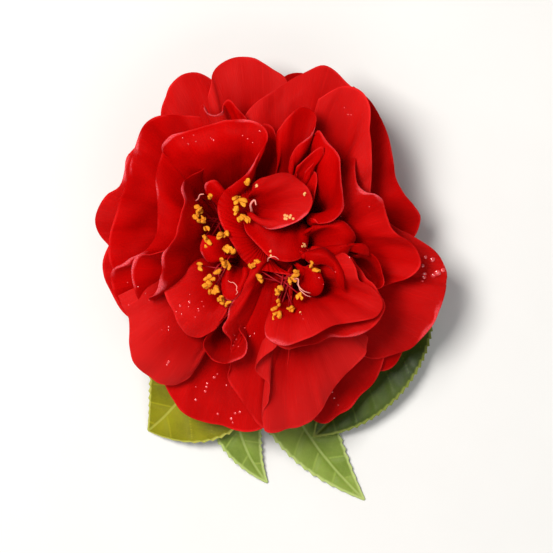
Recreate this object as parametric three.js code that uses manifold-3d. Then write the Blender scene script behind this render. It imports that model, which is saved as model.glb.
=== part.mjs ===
// A peony-form camellia bloom as picked: ruffled red petals in layers round pockets of golden
// stamens, on a calyx and a short twig with four serrated leaves. It lies face up on a surface.
// Millimetres, +Z up. The surface is z = 0 and the bloom's axis is vertical.
import * as THREE from 'three';
import { mergeVertices } from 'three/addons/utils/BufferGeometryUtils.js';
import Module from 'manifold-3d';

const wasm = await Module();
wasm.setup();
const UP = new THREE.Vector3(0, 0, 1);
const vector = (p) => new THREE.Vector3(...p);

// ---------------------------------------------------------------- driving dimensions
const BLOOM_AXIS = [-0.9, 9.9];      // where the bloom's axis stands in the part's frame
const PETAL_THICK = 0.7;
const PETAL_FACETS = { rows: 4, step: 9.5 };      // rows from foot to rim, length along the rim
const PETALOID_FACETS = { rows: 3, step: 6.2 };
const SEPAL_FACETS = { rows: 2, step: 3.5 };
const HUB = { foot: 12.6, top: 34, radius: 13 };         // the receptacle that carries the petals
const CLEARANCE = 0.3;               // air between neighbouring pieces
const SHORTEST_EDGE = 0.05;          // shorter ones, where petals cross, are closed up
const TWIG_RADIUS = 1.9;
const CALYX = { foot: 7.4, top: 12.3, radius: 9.5, sepals: 5, thick: 0.9 };
const COLUMN = { root: 1.5, fork: 1.1 };         // radii of a bundle's joined filaments
const FILAMENT = { root: 0.6, tip: 0.42 };       // radii of a filament
const ANTHER = { length: 3, radius: 1.2, turn: 2.4, tilt: 0.35 };
const LEAF_THICK = 0.8;
const LEAF_TEETH = 11;               // on each side of a leaf
const TOOTH_DEPTH = 0.6;
const TIP_HALF = 0.6;                // half the width that is left at a leaf's tip
const PETIOLE_RADIUS = 1.0;

// ---------------------------------------------------------------- colours
const RED = { color: 0xc4060a, roughness: 0.42 };
const GOLD = { color: 0xf0a31c, roughness: 0.7 };
const SEPAL_GREEN = { color: 0x6f7f35, roughness: 0.65 };
const BARK = { color: 0x6b5236, roughness: 0.85 };
const LEAF_GREEN = { color: 0x3f6a22, roughness: 0.4 };
const LIME = { color: 0x8a9a1e, roughness: 0.42 };

// ---------------------------------------------------------------- the petals, layer by layer
// foot: where the petal leaves the receptacle, and half the width there
// rise, tip: degrees above level at which it leaves the foot and reaches the rim; a list of tips
//   is spread evenly along the rim
// wave: height of the ruffle that grows towards the rim
// rim: the points that its rim passes through, from one shoulder round to the other
// pull: how far it holds each of its two slopes, as a share of its length
// bow: how far its middle is pushed aside
const petal = (foot, half, rise, tip, wave, rim, pull = [0.35, 0.35], bow = [0, 0, 0]) =>
  ({ foot, half, rise, tip, wave, rim, pull, bow });

const GUARD_PETALS = {
  guard_back: petal([3, 5, 13.4], 4, 5, -30, 0.6, [[-6, 34, 13], [-2, 43, 6], [3, 48.5, 1.2],
    [8.5, 50.3, 0.4], [13.5, 48.8, 1], [18, 42, 7]]),
  guard_behind_right: petal([6, 2, 14], 4, 30, 0, 0.6, [[24, 45, 24], [28.5, 41, 25], [31, 37, 26],
    [33.5, 31, 27], [35, 24, 27], [35.8, 19, 26], [38, 15, 25], [41, 11.5, 23], [43, 8, 21],
    [42, 4, 20], [36, -2, 20]]),
  guard_small_right: petal([5, -4, 13.4], 3, 14, -20, 0.5, [[42, -20, 19], [39, -27, 17],
    [37, -32, 15], [33.5, -35, 15], [28, -35, 16]]),
  guard_low_right: petal([3, -5, 13.4], 4, 18, -20, 0.6, [[33, -28, 18], [31.5, -35, 16],
    [29.5, -39.5, 15], [25.5, -43, 14], [23, -45.8, 14], [20, -47.2, 14], [17.5, -49, 13],
    [14, -49.3, 13], [9, -46, 15]]),
  guard_low_left: petal([-3, -5, 13.4], 5, 20, -15, 0.8, [[-30, -33, 21], [-29, -39, 20],
    [-27, -43, 18], [-24, -46.5, 17], [-19, -49.3, 16], [-13.5, -50.3, 16], [-9, -51.6, 16],
    [-3, -51.5, 16], [3, -48, 17]]),
  guard_left_low: petal([-6, -2, 13.4], 4, 20, -5, 0.6, [[-42, 5, 22], [-45, 0, 22],
    [-46.4, -4, 21], [-46.2, -8, 20], [-44.6, -12, 19], [-41, -18, 18], [-36, -22, 18]]),
  guard_left: petal([-6, 3, 13.6], 4, 28, 0, 0.6, [[-33, 32, 26], [-37, 28, 27], [-39.4, 25, 28],
    [-40, 21, 28], [-41.3, 17, 28], [-45, 14.5, 27], [-47.6, 10.5, 26], [-48.3, 7, 25],
    [-46.8, 3, 24], [-43, -1, 24]]),
  guard_top: petal([-2, 6, 15.5], 4, 25, -12, 0.6, [[-15, 37, 27], [-16, 44, 27], [-15.3, 49, 26],
    [-12.5, 52, 25], [-9, 53.2, 25], [-4, 53, 25], [-1, 51.8, 25], [2.5, 49.5, 25], [5, 47, 25],
    [7, 42, 26]]),
  guard_top_left: petal([-4, 5, 15], 4, 28, -8, 0.6, [[-29, 28, 27], [-30, 36, 26],
    [-29.3, 41, 25], [-27.5, 45, 25], [-23.5, 48.3, 24], [-19.5, 49, 24], [-16, 47.5, 24],
    [-12.5, 42, 25]]),
  guard_bright_left: petal([-7, -4, 19], 4, 62, -35, 0.6, [[-41.5, -13.5, 31.5],
    [-39.3, -18, 30.5], [-38.4, -22, 29.5], [-38.2, -25, 28], [-37.6, -30, 26], [-35.5, -34.5, 25],
    [-31.5, -38.2, 24], [-28, -39.5, 23], [-25, -39.4, 23], [-22.5, -37.5, 23], [-20, -34, 24],
    [-18, -28.5, 26], [-16, -23, 28]], [0.45, 0.4]),
  guard_right: petal([6, -2, 15.5], 5, 35, -12, 1, [[30, 10, 28], [36, 5, 27], [41, 2.5, 26],
    [45.5, 0, 25], [48.5, -3, 24], [50.2, -8, 23], [49.3, -14, 22], [47, -20, 21], [44, -24.5, 20],
    [40, -28.5, 20], [35, -30.7, 20], [29, -31.4, 21], [23, -29, 23]]),
};

const MIDDLE_PETALS = {
  broad_left: petal([3, -4, 23], 3, 85, [0, 0, -5, -15, -30, -25, -25, -20, -10], 0.4, [
    [-4, -6, 42], [-6.5, -10, 43.5], [-8.3, -14, 43.5], [-10.2, -18.5, 42.5], [-11.8, -23, 41.5],
    [-10, -25.8, 37], [-9.3, -29, 33.5], [-10.6, -33, 31], [-11, -37, 29], [-8, -42, 27],
    [-5, -46.5, 25], [-2.5, -50, 23], [0.5, -51.2, 21.5], [3, -46, 23.5], [5, -40, 27],
    [6, -33, 31], [6.5, -27, 34], [6.5, -21, 37], [6.5, -15, 39], [6, -10, 40]], [0.75, 0.4]),
  broad_bottom: petal([4, -5, 23], 3, 62, [15, 5, -20, -30, -33, -33, -30, -25], 0.5, [
    [5, -23, 39], [2.2, -28, 39.5], [-1, -31.3, 38.5], [-1.8, -35.3, 36.5], [0.9, -38.6, 34],
    [0, -43, 30.5], [-2, -47.3, 26.5], [-1.4, -50.4, 24], [1.8, -51.6, 23], [6, -50.6, 22],
    [11, -49, 23], [14.5, -46, 24], [17, -42, 26], [20, -37.5, 28], [24.5, -33, 30],
    [28, -29.5, 31], [28.5, -25, 30]], [0.5, 0.5]),
  broad_top: petal([3, 5, 18], 4, 40, -12, 1, [[-8, 32, 33], [-6, 36.5, 33], [-2.5, 40.5, 33],
    [2, 43.5, 32], [6, 46.2, 31], [10.5, 48.5, 30], [15, 50.4, 29], [18, 49.8, 29],
    [21.5, 46.8, 30], [24.5, 43.5, 31], [27, 38, 32]]),
  tall_top_right: petal([7, 6, 18], 4, 45, 20, 0.8, [[14, 41, 34], [20, 44.6, 35],
    [23.5, 44.3, 36], [26.5, 42, 37], [28, 38.5, 38], [28.6, 33, 39], [28.8, 27, 39],
    [28.6, 21, 38], [28, 14, 36], [27, 8, 34]]),
  long_right: petal([8, 1, 18], 4, 50, -5, 0.5, [[25.2, 29, 30], [24.4, 24.5, 37.5], [24, 20, 41],
    [24.8, 16.8, 42], [27, 14.8, 42], [30, 13.6, 41], [32, 11.6, 40], [33, 8, 39], [34.5, 4.5, 38],
    [38.5, 2, 36], [41.5, -1.5, 34], [42.4, -5, 32], [39.5, -8, 31], [35, -10, 31],
    [30, -12, 32]]),
  bowl_outer: petal([-6, 5, 18], 4, 45, 5, 0.6, [[-18, 36, 33], [-25, 36.5, 34], [-31, 36, 35],
    [-34.6, 33, 37], [-36, 28.5, 39], [-37.6, 23.5, 40], [-38.7, 18, 39], [-40.5, 13.5, 37],
    [-42, 9, 35], [-43.6, 5, 32.5], [-44.3, 0, 31.5], [-43.6, -5, 31.5], [-40.5, -9, 31]]),
  bowl_second: petal([-6, -1, 18], 4, 45, -5, 0.2, [[-29, 26, 40], [-30.7, 19, 43],
    [-30.2, 13, 44], [-30.1, 8, 44], [-30.5, 3.5, 43], [-32.4, 0, 41.5], [-35, -2.4, 39.5],
    [-37.9, -4.5, 37.5], [-41, -6.6, 35.5], [-43.4, -8.4, 33.5], [-43, -12.5, 31],
    [-40, -17.5, 29], [-36, -20.8, 28], [-30, -22.5, 29], [-23, -24, 30]]),
  bowl_third: petal([-6, -2, 20], 3, 50, 5, 0.4, [[-24, 4, 43], [-27.5, -1.3, 43],
    [-31.5, -2.8, 43], [-35.3, -5, 41], [-37, -8.5, 39], [-36.6, -12, 37], [-35.4, -15.5, 33.5],
    [-32, -19, 29], [-27, -21, 27]]),
  scoop_back: petal([-1, 6, 20], 3, 50, 25, 0.4, [[-8, 31, 37], [-4, 33.3, 38], [0, 33.6, 38.5],
    [2.6, 31, 38.5], [3.6, 27, 38.5], [4.4, 23, 38], [5, 20, 37.5]]),
  scoop: petal([-7, 6, 20], 3, 30, [-25, -30, -30, -20, 5, 30, 30], 0.3, [[-25, 18, 36],
    [-28.5, 23, 37.5], [-29, 27, 39], [-26, 30, 42], [-21, 32, 44], [-15.5, 33.6, 45],
    [-10, 34.4, 46], [-5.5, 34.4, 47], [-2, 33.2, 49], [-0.4, 31, 50], [-0.8, 28, 50.5],
    [-3, 24.4, 49], [-6.4, 20, 47], [-9.7, 17, 45], [-12.5, 14.5, 42]], [0.5, 0.35]),
  bowl_inner: petal([-7, 1, 20], 3, 30, [75, 70, 65, 55, 30, 0, -5], 0.3, [[-15.5, 24, 36],
    [-18, 22.2, 39], [-21, 20, 42], [-23.8, 18.2, 45], [-24, 15.8, 47.5], [-22.6, 13, 49],
    [-22.9, 9, 50], [-24, 4.5, 50], [-26, 0, 49], [-27.8, -4, 47], [-28.8, -8, 45],
    [-30.2, -12, 42], [-33, -14, 37.5], [-32, -16, 34], [-29, -17, 31], [-25, -17, 29]]),
  tongue_left: petal([-6, -4, 22], 3, 60, [20, 10, -10, -20, -25, -20], 0.3, [[-25, -1.5, 37.5],
    [-27.5, -6, 39], [-28.8, -10.5, 38.5], [-28, -14, 38], [-26, -17.5, 37], [-24.8, -21, 36.5],
    [-22.3, -25, 36], [-19.5, -25.6, 36], [-16.5, -24, 37], [-13.5, -21.5, 39],
    [-11, -16, 40]], [0.5, 0.4]),
  cup_lower: petal([6, -4, 20], 4, 45, 5, 0.4, [[1, -26, 40], [5, -28.2, 41], [9, -27.4, 41],
    [13.5, -26.6, 41], [17, -24.8, 42], [21, -24.7, 42], [25, -24.2, 42], [28.5, -22.4, 42],
    [31, -19.5, 42], [32.3, -16, 42], [30.5, -12, 43], [28, -8.8, 43], [25.5, -6.5, 44],
    [23, -3, 44]]),
  cup_upper: petal([6, -6, 22], 3, 40, 8, 0.6, [[1.5, -16, 41], [-0.6, -20, 45], [-1.3, -23.2, 49],
    [0.5, -25.5, 50], [4.5, -27, 50], [8.5, -26, 49], [12.5, -24.4, 49], [17, -22, 48],
    [21, -20.7, 47], [26, -20, 46], [30, -18.7, 45], [31.3, -15.8, 45], [28.5, -12.3, 46],
    [25, -9.8, 47], [23.7, -5.5, 49], [22, -2, 49]]),
};

const PETALOIDS = {
  fold_right: petal([9, 8, 22], 3, 70, [50, 35, 25, 30, 40, 40, 20], 0.3, [[12.6, 28, 41],
    [13.4, 31.5, 45], [15.2, 28.2, 47], [17.8, 25.8, 48], [19.6, 23, 49], [20.4, 19, 49],
    [20.9, 14.5, 49], [21.2, 11, 48], [19, 8.4, 47], [14.6, 6.9, 46],
    [11.8, 7.8, 43]], [0.45, 0.45], [3, 2, 0]),
  fold_behind: petal([3, 6, 22], 2, 65, 0, 0.3, [[3, 28, 42], [3.8, 33, 43], [6.5, 36.5, 43],
    [10, 38.2, 42], [12.8, 36.8, 41], [13.3, 33.5, 41], [12, 31, 42], [9.5, 29, 43], [7, 26, 43],
    [5.8, 22, 43]]),
  wedge_upper: petal([4, 7, 23], 1.5, 65, 20, 0.2, [[7.5, 18, 42], [8, 22, 44], [11.5, 25.6, 45],
    [15, 27.6, 46], [15, 25, 45], [12.5, 22, 44], [10, 19, 42]]),
  wedge_lower: petal([5, 6, 23], 1.5, 70, 15, 0.2, [[6, 20.5, 42], [10, 21, 43], [12.8, 20, 43.5],
    [13.2, 16.5, 43.5], [12.6, 13, 43], [11, 9, 42]]),
  ball: petal([-5, 11, 24], 2.5, 88, -32, 0.2, [[-4, 16.8, 44], [-1.5, 18.8, 45.5], [2, 19.3, 46],
    [5.5, 19.4, 46.5], [8.8, 17.6, 46.5], [11.2, 15.3, 46.5], [12.2, 12.3, 46], [11, 9.2, 46],
    [8.5, 7, 46], [5, 5.6, 46], [1, 5, 45.5], [-2, 5.8, 44.5], [-4.5, 7, 43]], [0.8, 0.35]),
  ball_under: petal([5, 8, 24], 2, 88, -40, 0.2, [[-7.5, 7.5, 41], [-6.6, 3.6, 41.5],
    [-4, 0.4, 42], [-0.8, -2, 42.5], [3.2, -3.4, 42.5], [7.5, -3.4, 42], [10, -1.4, 40],
    [11, 1.6, 38], [11, 5, 36]], [0.7, 0.35]),
  curl_low: petal([-7, -8, 22], 1.5, 8, 62, 0.1, [[-15.6, -24, 35], [-17, -27.5, 34.5],
    [-15.8, -31, 35], [-12.5, -32.7, 36.5], [-9, -31.4, 39], [-6.8, -28.5, 41],
    [-6.5, -25.2, 41.5], [-7.5, -22.5, 41]], [0.5, 0.35]),
  lobe_right: petal([9, 1, 22], 2, 88, -50, 0.2, [[11, 3.5, 39], [12.8, 6, 41], [16.5, 6.4, 42],
    [20.5, 6.6, 42], [22.8, 4.8, 41], [24, 1.8, 40], [22.4, -1, 40], [18, -1.4, 41],
    [13.5, -0.4, 41]]),
  lobe_far_right: petal([8, -1, 20], 1.5, 25, 55, 0.2, [[23.5, -2.4, 39], [25.5, -2, 40.5],
    [28, -2.8, 40.5], [30.4, -4.8, 40], [31.8, -8, 39], [31, -11, 37.5], [28, -12, 36]]),
  nub: petal([9, -1, 22], 1.5, 60, -40, 0.1, [[22.4, -1.8, 40.5], [23.6, 0.2, 42.5],
    [26.2, 1.3, 43], [28.2, 0.2, 42.5], [27.8, -1.8, 40.5]], [0.6, 0.35]),
  hood_right: petal([11, -1, 22], 4, 88, -60, 0.2, [[8.6, -1, 43], [10.3, -3, 44.5],
    [12.6, -4.4, 45.5], [15.2, -5.2, 46], [17.6, -7, 46], [19.2, -9.8, 45],
    [20.8, -12.4, 43.5]], [0.85, 0.4], [3, 1.5, 0]),
  ball_small: petal([6, -5, 23], 1.5, 80, -30, 0.1, [[9.5, -8, 42], [11.5, -7, 44], [14, -7.5, 45],
    [15.3, -10, 45], [14.5, -12.8, 44], [12, -13.8, 42], [10, -13, 40]]),
  throat: petal([0, 2, 24.3], 2, 70, 5, 0.2, [[-4, 18, 40], [-8, 17.5, 42], [-11.6, 15.4, 43.5],
    [-13.6, 12, 43.5], [-13.4, 8, 43], [-11.6, 4, 42.5], [-9.4, 0.4, 42], [-7, -3.4, 42],
    [-3.5, -6, 42], [1, -7, 41], [6, -8, 40]]),
  lobe_small: petal([-6, 0, 23], 1.5, 70, -20, 0.2, [[-13.5, 2.5, 40], [-16, 3, 42], [-18, 1, 43],
    [-18.3, -2, 43], [-16.5, -4.5, 42], [-13, -4, 40]]),
  shell: petal([-7.5, -4, 24], 1.8, 86, -40, 0.2, [[-11.6, -5, 41.5], [-12.8, -8.5, 42],
    [-12.5, -12, 42], [-10.5, -14.6, 42], [-8, -13.6, 42.5], [-6.6, -10, 42.5],
    [-5.6, -6, 42]], [0.8, 0.35]),
  knob: petal([-6, 5, 22], 1.2, 70, -20, 0.1, [[-17.3, 15, 38], [-16.8, 17.3, 40], [-15, 18.2, 41],
    [-13, 17.3, 40], [-12.5, 15.5, 38]]),
  lip: petal([-4, 6, 20], 2, 30, 20, 0.1, [[-19, 36.5, 36], [-18, 39.2, 38], [-17, 37.2, 39],
    [-15, 36.2, 39], [-13, 37, 39], [-12, 39, 38], [-10.5, 36.5, 36]]),
  lip_lobe: petal([-3, 6, 20], 1.5, 30, 30, 0.1, [[-12.7, 35.5, 36], [-12.3, 39, 38],
    [-11, 40.7, 38.5], [-9.4, 40.2, 38.5], [-8, 38, 38], [-6.2, 35, 37]]),
};

// The value at v, from 0 to 1, of a number or of a list that is spread evenly from 0 to 1.
function spread(values, v) {
  if (!Array.isArray(values)) return values;
  const place = v * (values.length - 1);
  const before = Math.min(Math.floor(place), values.length - 2);
  return THREE.MathUtils.lerp(values[before], values[before + 1], place - before);
}

// A vector of a given length that climbs at a slope over a level direction.
function sloped(level, degrees, length) {
  const slope = THREE.MathUtils.degToRad(degrees);
  return level.clone().multiplyScalar(length * Math.cos(slope))
    .addScaledVector(UP, length * Math.sin(slope));
}

// The middle surface of a petal: a row of ribs from its foot to its rim.
function petalSurface({ foot, half, rise, tip, wave, rim, pull, bow }, facets) {
  const curve = new THREE.CatmullRomCurve3(rim.map(vector), false, 'centripetal');
  const columns = Math.max(4, Math.round(curve.getLength() / facets.step));
  const ends = curve.getSpacedPoints(columns);
  const level = (v) => v.clone().setZ(0).normalize();
  const centre = vector(foot);
  const mean = ends.reduce((sum, e) => sum.add(e), new THREE.Vector3()).divideScalar(ends.length);
  const axis = level(mean.sub(centre));
  const side = new THREE.Vector3(-axis.y, axis.x, 0);
  if (side.dot(ends.at(-1).clone().sub(ends[0])) < 0) side.negate();
  const aside = vector(bow);
  const ribs = ends.map((end, j) => {
    const start = centre.clone().addScaledVector(side, half * (2 * j / columns - 1));
    const out = level(end.clone().sub(start));
    const first = out.clone().add(axis).normalize();
    const length = end.distanceTo(start);
    const last = spread(tip, j / columns);
    const leave = sloped(first, rise, pull[0] * length).add(start).add(aside);
    const arrive = sloped(out, last, -pull[1] * length).add(end).add(aside);
    return new THREE.CubicBezierCurve3(start, leave, arrive, end);
  });
  const rows = [];
  for (let i = 0; i <= facets.rows; i++) {
    const u = i / facets.rows;
    const onRib = u * (1.25 - 0.25 * u);          // rows stand closer towards the rim
    rows.push(ribs.map((rib) => rib.getPoint(onRib)));
  }
  const normals = surfaceNormals(rows);
  return rows.map((row, i) => row.map((p, j) => {
    const u = i / facets.rows, v = j / columns;
    const ruffle = wave * u ** 2.5 * Math.sin(4 * Math.PI * v + 0.4);
    return p.addScaledVector(normals[i][j], ruffle);
  }));
}

function surfaceNormals(rows) {
  const last = rows.length - 1, end = rows[0].length - 1;
  return rows.map((row, i) => row.map((_, j) => {
    const along = rows[Math.min(i + 1, last)][j].clone().sub(rows[Math.max(i - 1, 0)][j]);
    const across = rows[i][Math.min(j + 1, end)].clone().sub(rows[i][Math.max(j - 1, 0)]);
    return across.cross(along).normalize();
  }));
}

// ---------------------------------------------------------------- closed meshes and solids
// A sheet of rows of points becomes a closed blade, half its thickness to either side.
function blade(rows, thick) {
  const normals = surfaceNormals(rows);
  const n = rows.length, m = rows[0].length;
  const points = [];
  for (const sign of [1, -1]) {
    rows.forEach((row, i) => row.forEach((p, j) => {
      points.push(p.clone().addScaledVector(normals[i][j], sign * thick / 2));
    }));
  }
  const at = (layer, i, j) => layer * n * m + i * m + j;
  const faces = [];
  const quad = (a, b, c, d) => faces.push([a, b, c], [a, c, d]);
  for (let i = 0; i + 1 < n; i++) {
    for (let j = 0; j + 1 < m; j++) {
      quad(at(0, i, j), at(0, i, j + 1), at(0, i + 1, j + 1), at(0, i + 1, j));
      const [a, b, c, d] = [at(1, i, j), at(1, i, j + 1), at(1, i + 1, j + 1), at(1, i + 1, j)];
      faces.push([a, c, b], [a, d, c]);
    }
  }
  const border = [];
  for (let j = 0; j < m; j++) border.push([0, j]);
  for (let i = 1; i < n; i++) border.push([i, m - 1]);
  for (let j = m - 2; j >= 0; j--) border.push([n - 1, j]);
  for (let i = n - 2; i > 0; i--) border.push([i, 0]);
  border.forEach(([i, j], k) => {
    const [p, q] = border[(k + 1) % border.length];
    quad(at(1, i, j), at(1, p, q), at(0, p, q), at(0, i, j));
  });
  return solid(points, faces);
}

function solid(points, faces) {
  let volume = 0;
  for (const [a, b, c] of faces) {
    volume += points[a].dot(points[b].clone().cross(points[c]));
  }
  const outward = volume < 0 ? faces.map(([a, b, c]) => [a, c, b]) : faces;
  return new wasm.Manifold(new wasm.Mesh({
    numProp: 3,
    vertProperties: new Float32Array(points.flatMap((p) => p.toArray())),
    triVerts: new Uint32Array(outward.flat()),
  }));
}

function solidOf(geometry) {
  geometry.deleteAttribute('normal');
  geometry.deleteAttribute('uv');
  const { attributes, index } = mergeVertices(geometry, 1e-4);
  return new wasm.Manifold(new wasm.Mesh({
    numProp: 3,
    vertProperties: new Float32Array(attributes.position.array),
    triVerts: new Uint32Array(index.array),
  }));
}

// A round body about the vertical axis, from its profile of [radius, z] points.
function turned(profile, sides) {
  const outline = [[0, profile[0][1]], ...profile, [0, profile.at(-1)[1]]];
  const points = outline.map(([r, z]) => new THREE.Vector2(r, z));
  return solidOf(new THREE.LatheGeometry(points, sides).rotateX(Math.PI / 2));
}

// A straight bar that tapers from one point to another.
function strut(from, to, fromRadius, toRadius, sides) {
  const along = to.clone().sub(from);
  const geometry = new THREE.CylinderGeometry(toRadius, fromRadius, along.length(), sides)
    .rotateX(Math.PI / 2)
    .applyQuaternion(new THREE.Quaternion().setFromUnitVectors(UP, along.normalize()))
    .translate(...from.clone().add(to).divideScalar(2).toArray());
  return solidOf(geometry);
}

// A round stalk of even thickness along a smooth curve through points.
function stalk(points, radius, sides, steps) {
  const section = new THREE.Shape();
  section.absarc(0, 0, radius, 0, 2 * Math.PI);
  const path = new THREE.CatmullRomCurve3(points.map(vector), false, 'centripetal');
  return solidOf(new THREE.ExtrudeGeometry(section,
    { steps, curveSegments: sides / 2, extrudePath: path, bevelEnabled: false }));
}

const joined = (solids) => solids.reduce((whole, s) => whole.add(s));
const largest = (whole) => whole.decompose().sort((a, b) => b.volume() - a.volume())[0];

function node(name, whole, look) {
  const { vertProperties, triVerts } = whole.getMesh();
  const geometry = new THREE.BufferGeometry();
  geometry.setAttribute('position', new THREE.BufferAttribute(vertProperties, 3));
  geometry.setIndex(new THREE.BufferAttribute(triVerts, 1));
  geometry.computeVertexNormals();
  const mesh = new THREE.Mesh(geometry, new THREE.MeshStandardMaterial({ ...look, metalness: 0 }));
  mesh.name = name;
  return mesh;
}

// ---------------------------------------------------------------- the bloom
function petals() {
  const { foot, top, radius } = HUB;
  const hub = turned([[0.6 * radius, foot], [0.9 * radius, foot + 1.5], [radius, foot + 4],
    [0.98 * radius, top - 7], [0.75 * radius, top - 2.5], [0.4 * radius, top]], 12);
  const blades = [
    ...Object.values(GUARD_PETALS).map((p) => petalSurface(p, PETAL_FACETS)),
    ...Object.values(MIDDLE_PETALS).map((p) => petalSurface(p, PETAL_FACETS)),
    ...Object.values(PETALOIDS).map((p) => petalSurface(p, PETALOID_FACETS)),
  ].map((rows) => blade(rows, PETAL_THICK));
  return joined([hub, ...blades]);
}

// ---------------------------------------------------------------- the stamens
// The filaments of a bundle are one column from its root to its fork, then part to their tips,
// and each tip carries an anther.
const STAMEN_BUNDLES = {
  stamens_left: { root: [-8, 5, 24], fork: [-13.5, 6.5, 35], tips: [[-18.8, 10.6, 43],
    [-19.3, 8, 43.5], [-17.6, 7.2, 44.5], [-17, 5, 44], [-17.2, 2.6, 44], [-15.8, 13.4, 43],
    [-12.7, 3, 45]] },
  stamens_back: { root: [-4.5, 7, 24], fork: [-6.8, 10.3, 41.5], tips: [[-8.5, 13.2, 46],
    [-7.2, 12.4, 47], [-8.5, 10.2, 46.5], [-7.4, 8, 46], [-5.8, 7.6, 46.5], [-5.8, 17.4, 46.5]] },
  stamens_low: { root: [-7, -4, 24], fork: [-12, -5.8, 41.5], tips: [[-11.3, -0.6, 45.5],
    [-9.6, -1.6, 45.5], [-12.4, -4.1, 45], [-13.4, -6.9, 45], [-15.8, -8.8, 44.5],
    [-16.5, -10.8, 43.5], [-14.2, -11.4, 44], [-18.9, -5.2, 43], [-13.2, -14.2, 43.5],
    [-11.4, -15.8, 43.5]] },
  stamens_front: { root: [2.5, -7, 24], fork: [4.5, -9.5, 42], tips: [[-4.2, -5.4, 44],
    [-2.6, -8.4, 45], [2.8, -12.6, 45], [3, -15.5, 45.5], [3, -18.3, 46], [1.4, -19.6, 46.5],
    [6.8, -16.8, 45], [8.8, -13.3, 45.5], [6, -9.1, 45], [8, -7.4, 46], [12, -4.8, 47]] },
};

function stamens({ root, fork, tips }, extra) {
  const [foot, top] = [vector(root), vector(fork)];
  const parts = [strut(foot, top, COLUMN.root + extra, COLUMN.fork + extra, 6)];
  const parting = foot.clone().lerp(top, 0.9);
  tips.map(vector).forEach((tip, i) => {
    parts.push(strut(parting, tip, FILAMENT.root + extra, FILAMENT.tip + extra, 4));
    const { radius, length, turn, tilt } = ANTHER;
    const anther = new THREE.SphereGeometry(1, 5, 3)
      .scale(radius + extra, length / 2 + extra, radius + extra)
      .rotateX(tilt).rotateZ(turn * i)
      .translate(...tip.toArray());
    parts.push(solidOf(anther));
  });
  return joined(parts);
}

// ---------------------------------------------------------------- calyx, twig and leaves
function calyx() {
  const { foot, top, radius, sepals, thick } = CALYX;
  const core = turned([[2, foot], [4.2, foot + 1.6], [5, top]], 10);
  const scales = Array.from({ length: sepals }, (_, k) => {
    const turn = 2 * Math.PI * k / sepals;
    const at = (a, r, z) => [r * Math.cos(turn + a), r * Math.sin(turn + a), z];
    const rim = [at(-0.7, 0.62 * radius, top - 2.2), at(-0.42, 0.92 * radius, top - 1.2),
      at(0, radius, top - 0.9), at(0.42, 0.92 * radius, top - 1.2),
      at(0.7, 0.62 * radius, top - 2.2)];
    return blade(petalSurface(petal(at(0, 2.2, foot + 1), 1.6, 5, 35, 0, rim), SEPAL_FACETS), thick);
  });
  return joined([core, ...scales]);
}

const TWIG_PATH = [[-1, 0, 7], [-0.7, 0, 5.2], [0.8, 0, 3.4], [3.6, 0, 2.4], [9, 0.1, 1.95],
  [20, 0.6, 1.95], [34, 1.4, 1.95], [40.5, 1.7, 1.95]];

function twig() {
  return stalk(TWIG_PATH, TWIG_RADIUS, 12, 12);
}

// Each leaf: where its stalk leaves the twig, its midrib, its half widths on the two sides of the
// midrib, how bluntly each half ends, how steeply its halves fold up, and its colour.
const LEAVES = {
  leaf_lime: { foot: [-2.2, -1.75, 5.4], midrib: [[-6, -6, 6.6], [-10, -22, 9.5], [-22, -43, 9],
    [-34.6, -52.6, 0.8]], halves: [20, 20], tips: [1.5, 0.8], fold: 0.14, look: LIME },
  leaf_curved: { foot: [-0.05, -2.3, 3.8], midrib: [[-1.5, -8, 4.4], [-10, -28, 4.8],
    [-15, -50, 4.4], [-0.3, -67.5, 0.9]], halves: [10, 11], tips: [0.4, 0.45], fold: 0.06,
    look: LEAF_GREEN },
  leaf_low: { foot: [5.6, -2.3, 2], midrib: [[4.5, -8.5, 1.9], [-4, -30, 1.9], [6, -52, 1.9],
    [27.7, -72.5, 0.6]], halves: [14, 10.5], tips: [0.45, 0.45], fold: 0.06, look: LEAF_GREEN },
  leaf_right: { foot: [37.5, -0.65, 2.2], midrib: [[38, -5, 3.4], [36, -20, 6.5],
    [27, -42, 6.5], [13, -54, 4.6]], halves: [15, 15], tips: [0.7, 0.7], fold: 0.1,
    look: LEAF_GREEN },
};

function leaf({ foot, midrib, halves, tips, fold }) {
  const spine = new THREE.CubicBezierCurve3(...midrib.map(vector));
  const length = spine.getLength();
  const rows = [];
  const last = 2 * LEAF_TEETH;
  for (let i = 0; i <= last; i++) {
    const u = i / last;
    const tooth = i % 2 && i < last ? TOOTH_DEPTH : 0;
    const opening = (1 - (1 - u) ** 5) ** 0.8;          // the blade widens from its stalk
    const side = spine.getTangent(u).cross(UP).normalize();
    rows.push([-1, -0.5, 0, 0.5, 1].map((t) => {
      const k = t < 0 ? 0 : 1;
      const swell = opening * Math.tanh(tips[k] * (1 - u) * length / halves[k]);
      const reach = swell * halves[k] + TIP_HALF + tooth * Math.abs(t);
      const p = spine.getPoint(u).addScaledVector(side, t * reach);
      p.z += fold * Math.abs(t) * reach + 0.5 * t * t * Math.sin(9 * u + 2 * t) * swell;
      return p;
    }));
  }
  const petiole = stalk([foot, midrib[0], spine.getPoint(0.06).toArray()], PETIOLE_RADIUS, 8, 4);
  return joined([blade(rows, LEAF_THICK), petiole]);
}

// ---------------------------------------------------------------- the part
const part = new THREE.Group();
const bundles = Object.entries(STAMEN_BUNDLES);
const sockets = bundles.map(([, bundle]) => stamens(bundle, CLEARANCE));
const cut = sockets.reduce((whole, s) => whole.subtract(s), petals());
const bloom = largest(cut.simplify(SHORTEST_EDGE));
part.add(node('petals', bloom, RED));
bundles.forEach(([name, bundle]) => part.add(node(name, stamens(bundle, 0), GOLD)));
part.add(node('calyx', calyx(), SEPAL_GREEN));
part.add(node('twig', twig(), BARK));
Object.entries(LEAVES).forEach(([name, form]) => part.add(node(name, leaf(form), form.look)));
part.position.set(...BLOOM_AXIS, 0);

export default part;
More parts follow.
